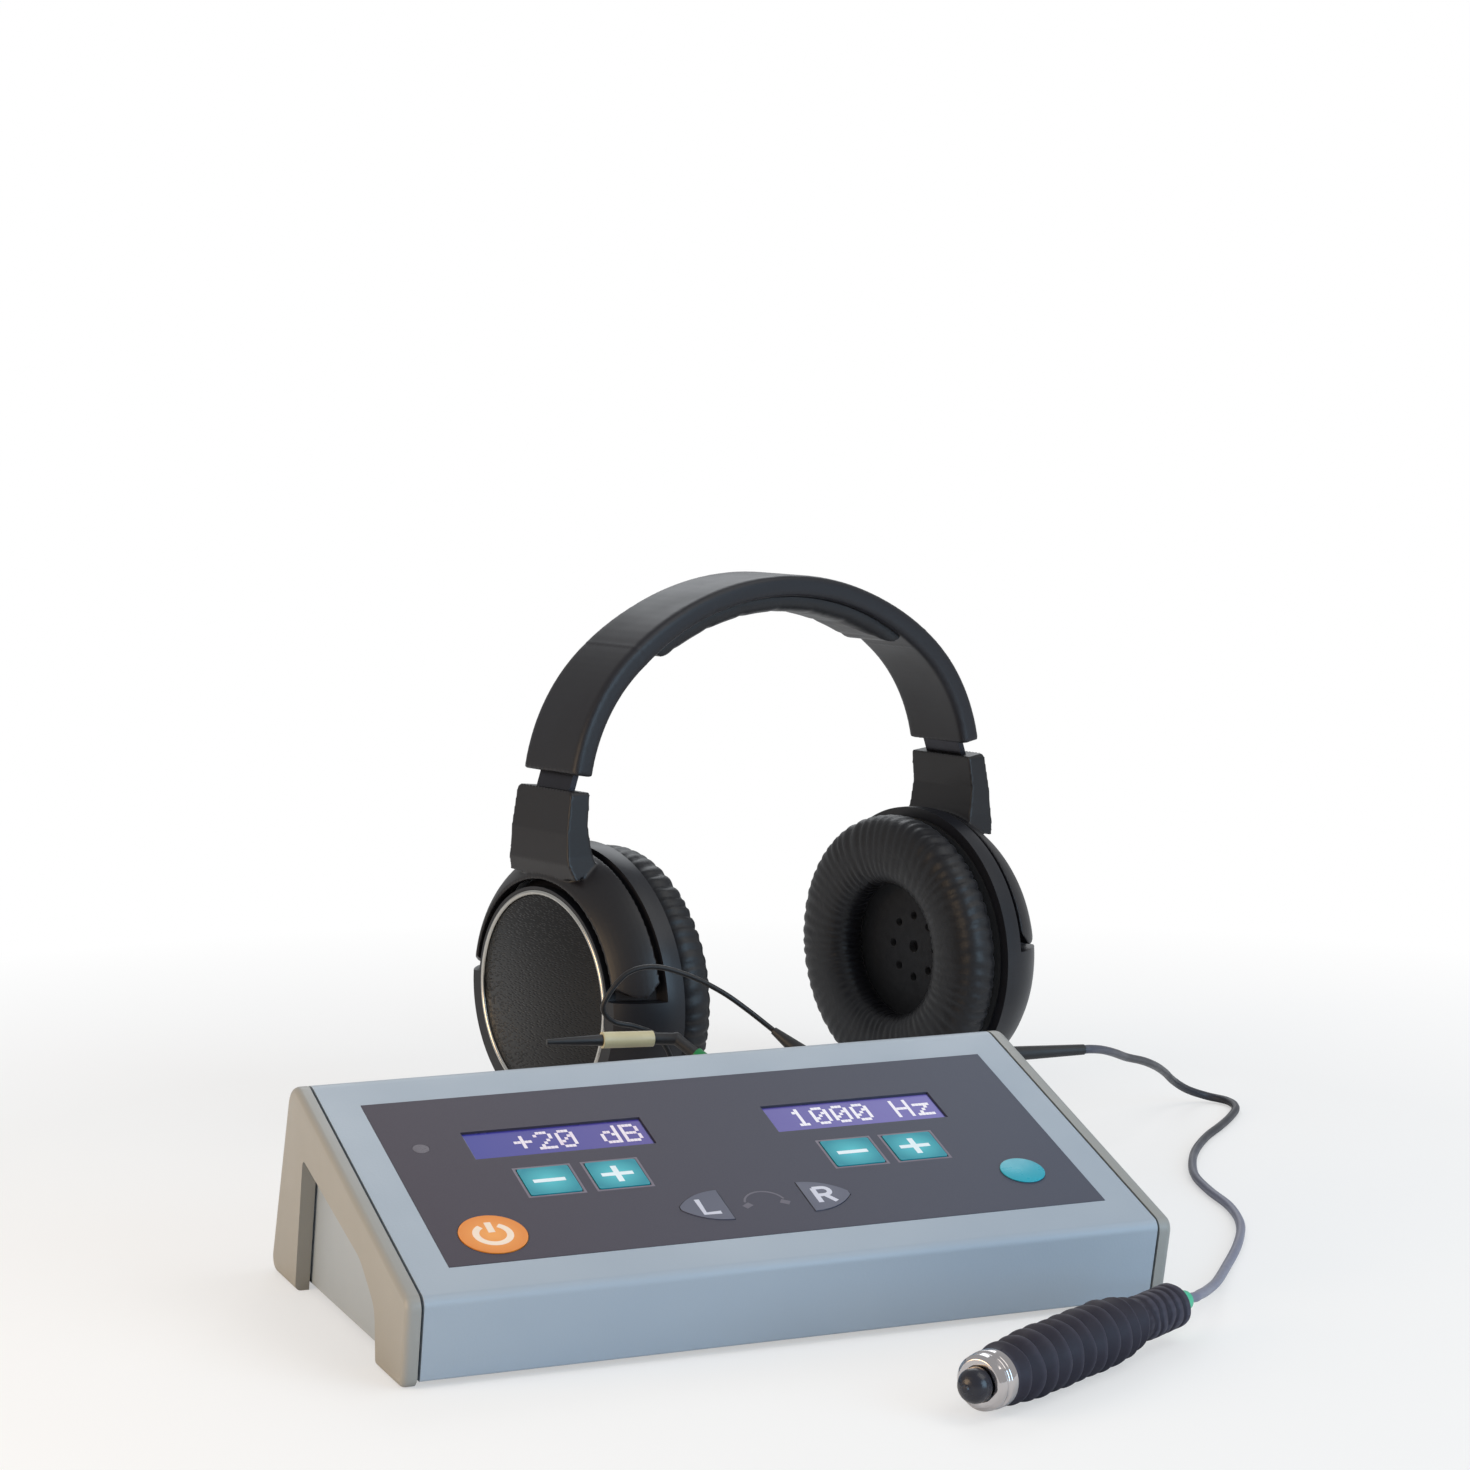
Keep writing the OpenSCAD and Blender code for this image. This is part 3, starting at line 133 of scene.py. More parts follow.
# Centre line of the response cord, from the boot on its plug to the handset
RESPONSE_ROUTE = [
    (172, 160, 44), (174.982, 160.297, 43.8701), (182, 165, 42.2), (191, 173, 39),
    (202, 184, 34.5), (215, 196, 30), (228, 210, 24.5), (241, 226, 18), (252, 239, 11.5),
    (262, 246, 6), (271, 247, 2.6), (276, 240, 1.7), (273, 229, 1.6), (264, 217, 1.6),
    (252, 204, 1.6), (238, 190, 1.6), (224, 173, 1.6), (213, 156, 1.6), (204, 138, 1.6),
    (198, 118, 1.6), (193, 96, 1.6), (184, 74, 1.6), (170, 52, 1.6), (152.5, 29, 1.9),
    (137.5, 9, 3.6), (124.5, -7.5, 6.4), (116, -18, 8.7), (112.719, -21.869, 9.45),
    (110.108, -23.3463, 9.75), (107.584, -24.7743, 9.75),
]

# Centre line of the headset cord, from its boot down to the coil
HEADSET_ROUTE = [
    (59, 165, 58), (57.9973, 166.127, 58.9823), (51, 169, 65), (43, 171, 71),
    (33, 174, 76.5), (22, 176, 80), (13, 177, 79), (7, 178, 73.5), (4, 179, 67),
    (8, 180, 62), (16, 181, 59.6), (25, 183, 55), (31, 186, 45), (31, 190, 32),
    (25, 196, 17), (12, 204, 6), (-6, 212, 1.7), (-22, 216.4, 1.1), (-41, 216.942, 0.72),
    (-45, 216.942, 0.72),
]

# Centre line of the headset cord from the coil up to the left cup
TAIL_ROUTE = [
    (-45, 216.942, 8.28), (-49, 216.942, 8.28), (-58, 220, 6.2), (-65, 228, 3),
    (-68, 240, 1.2), (-65, 256, 1.1), (-57, 275, 1.1), (-46, 293, 1.1), (-33, 309, 1.1),
    (-19, 321, 1.1), (-5, 327.5, 1.1), (7, 328.5, 1.2), (14.5, 324.4, 1.7),
    (18.3445, 318.521, 2.67502), (19.0886, 315.925, 5.89241), (19.3898, 314.875, 7.19468),
]

# Coil of spare headset cord: middle, outer radius, pitch, layers and turns in each layer
COIL_AT = (-45, 200)
COIL_OUT_R = 16.942
COIL_LOW_Z = 0.72
COIL_PITCH = 2.52
COIL_LAYERS = 4
COIL_TURNS = 4.75
COIL_LOOPS = 21
COIL_RINGS = 20

# Characters on the displays: five dots wide and seven high
CHARACTERS = {
    "+": "..... ..#.. ..#.. ##### ..#.. ..#.. .....",
    "2": ".###. #...# ....# ...#. ..#.. .#... #####",
    "0": ".###. #...# #..## #.#.# ##..# #...# .###.",
    "1": "..#.. .##.. ..#.. ..#.. ..#.. ..#.. .###.",
    "d": "....# ....# .##.# #..## #...# #...# .####",
    "B": "####. #...# #...# ####. #...# #...# ####.",
    "H": "#...# #...# #...# ##### #...# #...# #...#",
    "z": "..... ..... ##### ...#. ..#.. .#... #####",
}
CELL_PITCH = 6.8
DOT_PITCH = (1.13, 1.43)


# ---------------------------------------------------------------- modelling helpers

def only(obj):
    """Makes obj the one selected and active object."""
    bpy.ops.object.select_all(action="DESELECT")
    obj.select_set(True)
    bpy.context.view_layer.objects.active = obj
    return obj


def made(name):
    """Names the object that the last operator added."""
    obj = bpy.context.view_layer.objects.active
    obj.name = name
    obj.data.name = name
    return only(obj)


def edit(obj, *steps):
    """Runs operators on obj in edit mode, with all of it selected at the start."""
    only(obj)
    bpy.ops.object.mode_set(mode="EDIT")
    bpy.ops.mesh.select_all(action="SELECT")
    for step in steps:
        step()
    bpy.ops.object.mode_set(mode="OBJECT")


def outward():
    bpy.ops.mesh.select_all(action="SELECT")
    bpy.ops.mesh.normals_make_consistent(inside=False)


def settled(obj, place):
    """Puts obj's mesh at its place in the frame and leaves its object at the origin."""
    only(obj)
    obj.matrix_world = place
    bpy.ops.object.transform_apply(location=True, rotation=True, scale=True)
    if place.determinant() < 0:
        edit(obj, outward)
    return obj


def with_modifier(obj, kind, **settings):
    only(obj)
    modifier = obj.modifiers.new(kind.title(), kind)
    for key, value in settings.items():
        setattr(modifier, key, value)
    bpy.ops.object.modifier_apply(modifier=modifier.name)
    return obj


def smoothed(obj, angle=35):
    only(obj)
    bpy.ops.object.shade_smooth_by_angle(angle=radians(angle))
    return obj


def joined(parts, name):
    bpy.ops.object.select_all(action="DESELECT")
    for part in parts:
        part.select_set(True)
    bpy.context.view_layer.objects.active = parts[0]
    if len(parts) > 1:
        bpy.ops.object.join()
    return made(name)


def refined(node, name, angle=35, bevel=0.0, segments=2):
    """Replaces a CAD node by a merged copy, smoothly shaded and, where asked, with eased edges."""
    source = NODES[node]
    source.hide_viewport = False
    only(source)
    bpy.ops.object.duplicate()
    obj = made(name)
    body = source["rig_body"]
    bpy.ops.object.parent_clear(type="CLEAR_KEEP_TRANSFORM")
    for key in [k for k in obj.keys() if k.startswith("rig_")]:
        del obj[key]
    bpy.ops.mesh.customdata_custom_splitnormals_clear()
    edit(
        obj,
        lambda: bpy.ops.mesh.remove_doubles(threshold=2e-6),
        lambda: bpy.ops.mesh.dissolve_limited(angle_limit=radians(0.4)),
    )
    if bevel:
        with_modifier(
            obj, "BEVEL", width=bevel / 1000, segments=segments, limit_method="ANGLE",
            angle_limit=radians(38), harden_normals=False, use_clamp_overlap=True,
        )
    smoothed(obj, angle)
    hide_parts(node)
    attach(obj, body)
    return obj


def blended(node, name, voxel, passes, shape=None):
    """Replaces a CAD node by a copy whose faces flow into each other, as one moulding."""
    obj = refined(node, name)
    with_modifier(obj, "REMESH", mode="VOXEL", voxel_size=voxel / 1000)
    if shape:
        shape(obj)
    with_modifier(obj, "SMOOTH", factor=0.5, iterations=passes)
    smoothed(obj, 60)
    return obj


def spread(points, per):
    """Points on a smooth curve through the given ones, as the cords follow it."""
    found = []
    last = len(points) - 1
    for i in range(last):
        a = Vector(points[max(i - 1, 0)])
        b, c = Vector(points[i]), Vector(points[i + 1])
        d = Vector(points[min(i + 2, last)])
        for j in range(per):
            t = j / per
            found.append(
                0.5 * (2 * b + (c - a) * t + (2 * a - 5 * b + 4 * c - d) * t * t
                       + (3 * b - a - 3 * c + d) * t * t * t)
            )
    return found + [Vector(points[last])]


def coil_point(loops):
    span = COIL_TURNS + 0.5
    layer = min(floor(loops / span), COIL_LAYERS - 1)
    rest = loops - layer * span
    part = min(rest / COIL_TURNS, 1)
    inset = part if layer % 2 == 0 else 1 - part
    r = COIL_OUT_R - inset * COIL_PITCH * COIL_TURNS
    climb = max(0, (rest - COIL_TURNS) / 0.5)
    a = radians(90) + 2 * pi * loops
    return Vector((
        COIL_AT[0] + r * cos(a), COIL_AT[1] + r * sin(a),
        COIL_LOW_Z + (layer + climb) * COIL_PITCH,
    ))


def swept(name, lines, diameter, fineness, merge, closed=False):
    """Mesh of a round rod along each of the lines, lists of points."""
    curve = bpy.data.curves.new(name, "CURVE")
    curve.dimensions = "3D"
    curve.bevel_depth = diameter / 2
    curve.bevel_resolution = fineness
    curve.use_fill_caps = not closed
    for line in lines:
        spline = curve.splines.new("POLY")
        spline.points.add(len(line) - 1)
        spline.use_cyclic_u = closed
        for point, place in zip(spline.points, line):
            point.co = (*place, 1)
    obj = bpy.data.objects.new(name, curve)
    bpy.context.scene.collection.objects.link(obj)
    only(obj)
    bpy.ops.object.convert(target="MESH")
    obj = made(name)
    edit(obj, lambda: bpy.ops.mesh.remove_doubles(threshold=merge), outward)
    return obj


def tube(name, path, diameter, fineness=3):
    """Round tube of a flexible cord along path, a list of points in metres."""
    return smoothed(swept(name, [path], diameter, fineness, 1e-7), 60)


def printed(name, lines, width, place, thick=0.07, closed=False):
    """Ink mark on a flat face: strokes of one width in mm, slightly proud of the face."""
    lines = [[(x, y, 0) for x, y in line] for line in lines]
    obj = swept(name, lines, width, 2, 1e-5, closed)
    obj.data.transform(Matrix.Diagonal((1, 1, thick / width, 1)))
    return settled(smoothed(obj, 50), place)


def arc(centre, r, start, end, steps=24):
    return [
        (centre[0] + r * cos(radians(start + (end - start) * i / steps)),
         centre[1] + r * sin(radians(start + (end - start) * i / steps)))
        for i in range(steps + 1)
    ]


# ---------------------------------------------------------------- material helpers

def linear(text):
    """Linear colour of an sRGB hex value."""
    values = [int(text[i : i + 2], 16) / 255 for i in (1, 3, 5)]
    return tuple(
        v / 12.92 if v <= 0.04045 else ((v + 0.055) / 1.055) ** 2.4 for v in values
    ) + (1.0,)


def add(owner, kind, settings=None, links=None):
    """Adds a node to a material or the world, with its settings and the outputs linked into it."""
    made_node = owner.node_tree.nodes.new(kind)
    for key, value in (settings or {}).items():
        if isinstance(key, int) or key in made_node.inputs:
            made_node.inputs[key].default_value = value
        else:
            setattr(made_node, key, value)
    for key, source in (links or {}).items():
        owner.node_tree.links.new(source, made_node.inputs[key])
    return made_node


def once(build):
    """Lets build fill a new node material of a name, or gives back the one already built."""
    def get(name, *values, **settings):
        if name in bpy.data.materials:
            return bpy.data.materials[name]
        mat = bpy.data.materials.new(name)
        mat.use_nodes = True
        mat.node_tree.nodes.clear()
        return build(mat, *values, **settings)
    return get


def place_of(mat):
    """Coordinates of the object, in metres, the same in every piece."""
    return add(mat, "ShaderNodeTexCoord").outputs["Object"]


def noise(mat, place, size_mm, detail=2.0, **settings):
    """Noise whose features are about size_mm across."""
    return add(
        mat, "ShaderNodeTexNoise", {"Scale": 1000 / size_mm, "Detail": detail, **settings},
        {"Vector": place},
    ).outputs["Fac"]


def ranged(mat, value, low, high, to_low=0.0, to_high=1.0):
    """Value carried from one range to another and held within it."""
    return add(
        mat, "ShaderNodeMapRange",
        {"From Min": low, "From Max": high, "To Min": to_low, "To Max": to_high},
        {"Value": value},
    ).outputs["Result"]


def tinted(mat, share, first, second):
    """Colour between two, each of them a hex value or an output."""
    node = add(mat, "ShaderNodeMix", {"data_type": "RGBA"}, {"Factor": share})
    for socket, value in zip([s for s in node.inputs if s.type == "RGBA"], (first, second)):
        if isinstance(value, str):
            socket.default_value = linear(value)
        else:
            mat.node_tree.links.new(value, socket)
    return [s for s in node.outputs if s.type == "RGBA"][0]


def bumped(mat, height, depth_mm, strength=0.6, below=None):
    links = {"Height": height}
    if below:
        links["Normal"] = below
    return add(
        mat, "ShaderNodeBump", {"Strength": strength, "Distance": depth_mm / 1000}, links
    ).outputs["Normal"]


def shaded(mat, settings, links):
    """Ends a material with its surface shader."""
    shader = add(mat, "ShaderNodeBsdfPrincipled", settings, links)
    add(mat, "ShaderNodeOutputMaterial", {}, {"Surface": shader.outputs["BSDF"]})
    return mat


@once
def finish(
    mat, colour, shade, roughness, metallic=0.0, mottle_mm=20.0, grain_mm=0.6,
    grain_depth=0.1, rough_spread=0.06, stretch=(1, 1, 1), specular=0.5, sheen=0.0, edge_wear_and_highlight=None,
):
    """Moulded, cast, drawn or painted surface: two close tints in soft patches, a fine grain in
    the bump and an uneven roughness, all scaled from real sizes in mm; where asked, a lighter
    tint on its sharp edges stands partly for worn edges and partly for a painted highlight."""
    place = add(
        mat, "ShaderNodeMapping", {"Scale": stretch}, {"Vector": place_of(mat)}
    ).outputs[0]
    mottle = noise(mat, place, mottle_mm, 3.0)
    shown = tinted(mat, mottle, colour, shade)
    # Lighter tint on sharp edges: partly worn edges, partly a painted highlight
    if edge_wear_and_highlight:
        edge = add(mat, "ShaderNodeNewGeometry").outputs["Pointiness"]
        shown = tinted(mat, ranged(mat, edge, 0.52, 0.6, 0, 0.7), shown, edge_wear_and_highlight)
    rough = ranged(mat, mottle, 0.3, 0.7, roughness - rough_spread, roughness + rough_spread)
    return shaded(
        mat,
        {"Metallic": metallic, "Specular IOR Level": specular, "Sheen Weight": sheen,
         "Sheen Roughness": 0.5},
        {"Base Color": shown, "Roughness": rough,
         "Normal": bumped(mat, noise(mat, place, grain_mm), grain_depth)},
    )


def dress(mat, *objects):
    """Gives one finish to new pieces or to CAD nodes."""
    for obj in objects:
        obj = NODES[obj] if isinstance(obj, str) else obj
        if not obj.material_slots:
            obj.data.materials.append(mat)
        for one in obj.material_slots:
            one.material = mat


# ---------------------------------------------------------------- materials

def case_abs(tone):
    # Moulded ABS with a fine spark-eroded texture: matt, with a soft highlight along its bends.
    tones = {
        "shell": ("#a0abb6", "#98a4b1"),
        "cheek": ("#979794", "#8f8f8b"),
        "dark": ("#5c626a", "#525860"),
    }
    return finish(
        "moulded_abs_" + tone, *tones[tone], 0.44, grain_mm=0.7, grain_depth=0.05,
        mottle_mm=45,
    )


@once
def polyester_foil(mat):
    # Screen-printed polyester foil: fine matt grain, dull sheen; painted cool light makes it
    # lighter and bluer towards its right end.
    place = place_of(mat)
    side = add(mat, "ShaderNodeSeparateXYZ", {}, {"Vector": place}).outputs["X"]
    grain = noise(mat, place, 0.45)
    return shaded(
        mat, {"Specular IOR Level": 0.22},
        {"Base Color": tinted(mat, ranged(mat, side, -0.15, 0.05), "#3d3540", "#444857"),
         "Roughness": ranged(mat, grain, 0, 1, 0.4, 0.54),
         "Normal": bumped(mat, grain, 0.03, 0.4)},
    )


@once
def key_foil(mat, centre, reach_mm, inner, outer):
    # Printed key field under polyester: lighter in its middle, fading darker towards its edge.
    place = place_of(mat)
    middle = SLOPE @ Vector((centre[0], centre[1], KEY_N))
    size = 1000 / reach_mm
    near = add(
        mat, "ShaderNodeMapping",
        {"Location": tuple(-middle * size), "Scale": (size, size, size)}, {"Vector": place},
    ).outputs[0]
    glow = add(
        mat, "ShaderNodeTexGradient", {"gradient_type": "SPHERICAL"}, {"Vector": near}
    ).outputs["Fac"]
    return shaded(
        mat, {"Roughness": 0.42, "Specular IOR Level": 0.25},
        {"Base Color": tinted(mat, ranged(mat, glow, 0.05, 0.9), outer, inner),
         "Normal": bumped(mat, noise(mat, place, 0.45), 0.03, 0.4)},
    )


@once
def display_layer(mat, near, far, centre):
    # Backlit display film behind glass: lit from within, paler towards one end, glossy in front.
    place = place_of(mat)
    middle = SLOPE @ Vector((centre[0], centre[1], PICTURE_N))
    spot = add(
        mat, "ShaderNodeMapping", {"Location": tuple(-middle)}, {"Vector": place}
    ).outputs[0]
    side = add(mat, "ShaderNodeSeparateXYZ", {}, {"Vector": spot}).outputs["X"]
    cloud = add(
        mat, "ShaderNodeMath", {"operation": "MULTIPLY_ADD", 1: 0.25},
        {0: noise(mat, place, 14), 2: ranged(mat, side, -0.028, 0.028, 0, 0.8)},
    ).outputs[0]
    film = tinted(mat, cloud, near, far)
    return shaded(
        mat,
        {"Base Color": linear("#101030"), "Roughness": 0.25, "Specular IOR Level": 0.2,
         "Emission Strength": 0.65},
        {"Emission Color": film},
    )


@once
def display_dot(mat, colour):
    # Lit liquid-crystal dot: pale and softly glowing.
    tint = tinted(mat, noise(mat, place_of(mat), 3), colour, "#ffffff")
    return shaded(
        mat,
        {"Base Color": linear("#1c1c30"), "Roughness": 0.4, "Specular IOR Level": 0.2,
         "Emission Strength": 0.85},
        {"Emission Color": tint},
    )


@once
def embossed_gloss(mat, place_matrix):
    # Glossy black moulded disc with short fine embossed dashes that catch thin highlights.
    place = place_of(mat)
    turn = place_matrix.to_3x3().normalized().inverted().to_euler()
    flat = add(
        mat, "ShaderNodeMapping", {"Rotation": tuple(turn)}, {"Vector": place}
    ).outputs[0]
    dash = add(
        mat, "ShaderNodeMapping", {"Scale": (1000 / 2.3, 1000 / 0.65, 1000 / 2.3)},
        {"Vector": flat},
    ).outputs[0]
    cells = add(
        mat, "ShaderNodeTexVoronoi", {"Scale": 1.0, "Randomness": 0.8}, {"Vector": dash}
    ).outputs["Distance"]
    # The dashes' height also sets the colour: the raised dashes are painted a shade lighter, a
    # painted highlight
    height = ranged(mat, cells, 0.12, 0.5)
    return shaded(
        mat, {"Roughness": 0.24, "Specular IOR Level": 0.3},
        {"Base Color": tinted(mat, height, "#050505", "#0c0b0b"),
         "Normal": bumped(mat, height, 0.2, 0.6)},
    )


@once
def pleated_leather(mat):
    # Soft synthetic leather: pebbled grain about 1 mm across, creases that scatter the light and
    # are painted darker in their hollows, a painted shade.
    place = place_of(mat)
    pebble = add(
        mat, "ShaderNodeTexVoronoi", {"Scale": 1000 / 1.1, "Randomness": 1.0}, {"Vector": place}
    ).outputs["Distance"]
    # The crease pattern also sets the colour: painted shade, darker in the crease hollows
    crease = noise(mat, place, 7, 5.0, Distortion=1.2)
    fine = bumped(mat, pebble, 0.06, 0.35)
    return shaded(
        mat, {"Sheen Weight": 0.05, "Sheen Roughness": 0.4, "Specular IOR Level": 0.4},
        {"Base Color": tinted(mat, crease, "#0f0f12", "#1b1b20"),
         "Roughness": ranged(mat, crease, 0, 1, 0.36, 0.56),
         "Normal": bumped(mat, crease, 0.5, 0.5, fine)},
    )


def soft_touch(name, colour, shade, rough=0.42):
    # Soft-touch painted ABS: very dark, with a broad cool highlight that shows every curve.
    return finish(
        name, colour, shade, rough, grain_mm=0.35, grain_depth=0.015, mottle_mm=30,
        specular=0.4,
    )


@once
def cable_pvc(mat, near, far):
    # Extruded soft PVC: smooth, slightly waxy, with painted shade that makes it darker towards
    # the console's back.
    place = place_of(mat)
    back = add(mat, "ShaderNodeSeparateXYZ", {}, {"Vector": place}).outputs["Y"]
    return shaded(
        mat, {"Specular IOR Level": 0.4},
        {"Base Color": tinted(mat, ranged(mat, back, -0.05, 0.04), near, far),
         "Roughness": ranged(mat, noise(mat, place, 9, 3.0), 0.3, 0.7, 0.36, 0.48),
         "Normal": bumped(mat, noise(mat, place, 1.5), 0.02)},
    )


def steel():
    # Zinc-plated turned steel: bright, with fine tool marks.
    return finish(
        "zinc_plated_steel", "#b9bcc0", "#a7aab0", 0.3, metallic=1.0, grain_mm=0.25,
        grain_depth=0.01, mottle_mm=4,
    )


@once
def paper_sweep(mat):
    # Matt white sweep of paper that fades into the white background away from the object.
    away = add(
        mat, "ShaderNodeVectorMath", {"operation": "LENGTH"}, {0: place_of(mat)}
    ).outputs["Value"]
    seen = add(
        mat, "ShaderNodeMath", {"operation": "MULTIPLY"},
        {0: add(mat, "ShaderNodeLightPath").outputs["Is Camera Ray"],
         1: ranged(mat, away, 0.3, 0.62, 0.5, 1)},
    ).outputs[0]
    paint = add(mat, "ShaderNodeBsdfDiffuse", {"Color": (0.88, 0.88, 0.88, 1)})
    glow = add(mat, "ShaderNodeEmission", {"Color": (1, 1, 1, 1), "Strength": 1.0})
    mix = add(
        mat, "ShaderNodeMixShader", {}, {"Fac": seen, 1: paint.outputs[0], 2: glow.outputs[0]}
    )
    add(mat, "ShaderNodeOutputMaterial", {}, {"Surface": mix.outputs[0]})
    return mat


# ---------------------------------------------------------------- settings

class AudiometerCordSettings(bpy.types.PropertyGroup):
    """Sizes of the cords"""

    response_diameter: bpy.props.FloatProperty(
        name="Response Cord Diameter", description="Diameter of the handset's cord",
        default=0.003, unit="LENGTH",
    )
    headset_diameter: bpy.props.FloatProperty(
        name="Headset Cord Diameter", description="Diameter of the headset's cord",
        default=0.0018, unit="LENGTH",
    )


class AudiometerDisplaySettings(bpy.types.PropertyGroup):
    """What the two displays show"""

    level_text: bpy.props.StringProperty(
        name="Level", description="Characters on the left display", default=" +20 dB",
    )
    frequency_text: bpy.props.StringProperty(
        name="Frequency", description="Characters on the right display", default="1000 Hz",
    )
    dot_gap: bpy.props.FloatProperty(
        name="Dot Gap", description="Gap between the dots of a character, in mm", default=0.12,
        min=0, max=0.4,
    )


class AudiometerPaddingSettings(bpy.types.PropertyGroup):
    """Padding of the headset"""

    pleats: bpy.props.IntProperty(
        name="Pleats", description="Number of folds around an ear cushion", default=66, min=20,
        max=90,
    )
    pleat_depth: bpy.props.FloatProperty(
        name="Pleat Depth", description="Depth of a fold in the cushion's leather",
        default=0.0012, unit="LENGTH",
    )
    fill: bpy.props.FloatProperty(
        name="Fill", description="How tightly the cushions are stuffed", default=0.6, min=0,
        max=1, subtype="FACTOR",
    )


# ---------------------------------------------------------------- operators

class AUDIOMETER_OT_camera(bpy.types.Operator):
    """Sets the camera to the photograph's viewing angle"""

    bl_idname = "audiometer.camera"
    bl_label = "Place Camera"

    def execute(self, context):
        bpy.ops.object.camera_add(
            location=(-0.429894, -1.024587, 0.2775),
            rotation=(radians(90 - 6.10), radians(0.03), radians(-22.18)),
        )
        camera = context.object
        camera.name = "camera"
        camera.data.lens = 84.93
        camera.data.sensor_width = 36
        camera.data.clip_start = 0.01
        context.scene.camera = camera
        return {"FINISHED"}


class AUDIOMETER_OT_cords(bpy.types.Operator):
    """Lays the response cord and the headset cord with its coil"""

    bl_idname = "audiometer.cords"
    bl_label = "Lay Cords"

    def execute(self, context):
        sizes = context.scene.audiometer_cords
        path = [CASE @ p for p in spread(RESPONSE_ROUTE, 6)]
        cord = tube("response_cord_sheath", path, sizes.response_diameter)
        # The cord runs from grey near the handset to dark at the back: painted shade
        dress(cable_pvc("grey_cable_pvc", "#767788", "#303138"), cord)
        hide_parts("response_cord")
        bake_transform(cord)

        loops = [coil_point(i / COIL_RINGS) for i in range(1, COIL_LOOPS * COIL_RINGS)]
        line = spread(HEADSET_ROUTE, 6) + loops + spread(TAIL_ROUTE, 6)
        path = [CASE @ p for p in line]
        cord = tube("headset_cord_sheath", path, sizes.headset_diameter, fineness=2)
        dress(cable_pvc("black_cable_pvc", "#202024", "#18181b"), cord)
        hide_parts("headset_cord", "headset_cord_coil", "headset_cord_tail")
        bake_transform(cord)
        return {"FINISHED"}


class AUDIOMETER_OT_console(bpy.types.Operator):
    """Dresses the case, its cheeks, its foil and what is inside it"""

    bl_idname = "audiometer.console"
    bl_label = "Dress Console"

    def execute(self, context):
        dress(case_abs("shell"), refined("top_cover", "case_shell", 32))
        for side in ("left", "right"):
            dress(case_abs("cheek"), refined(side + "_cheek", side + "_end_cheek", 40))
        dress(case_abs("dark"), "base_tray", "rear_panel")
        # Moulded rubber foot: dull black.
        dress(finish("moulded_rubber", "#1c1c1d", "#151516", 0.8, grain_mm=0.8), "rubber_feet")
        dress(steel(), "case_screws", "board_screws", "switch_domes")
        dress(polyester_foil("printed_polyester_foil"), "front_foil")
        # Clear film with printed silver tracks, seen only in section.
        dress(
            finish("keypad_film", "#c0b07a", "#b3a36c", 0.4, mottle_mm=6), "keypad_layer"
        )
        # Woven glass laminate with green solder mask.
        board = finish(
            "solder_mask_laminate", "#1f6b3a", "#185a30", 0.35, grain_mm=0.9, grain_depth=0.04,
            mottle_mm=8,
        )
        dress(board, "main_board", "level_display", "frequency_display")
        # Smoked lens of an unlit lamp behind the foil.
        lens = finish(
            "smoked_lamp_lens", "#5b545d", "#504a53", 0.3, grain_mm=2, grain_depth=0.01,
            mottle_mm=3, specular=0.25,
        )
        dress(lens, refined("status_lamp", "lamp_lens", 30))
        # Doming resin over a teal print: a clear wet gloss.
        resin = finish(
            "domed_teal_resin", "#22a9bd", "#1a98ab", 0.3, grain_mm=4, grain_depth=0.02,
            mottle_mm=6, specular=0.4,
        )
        dress(resin, refined("badge_disc", "resin_badge", 30, bevel=0.18, segments=3))
        # Glass-filled nylon of the socket bodies.
        nylon = finish(
            "black_nylon", "#202125", "#18191c", 0.38, grain_mm=0.5, grain_depth=0.03
        )
        dress(nylon, refined("rear_sockets", "socket_rings", 30, bevel=0.2))
        dress(nylon, refined("power_inlet", "inlet_body", 30, bevel=0.15))
        return {"FINISHED"}


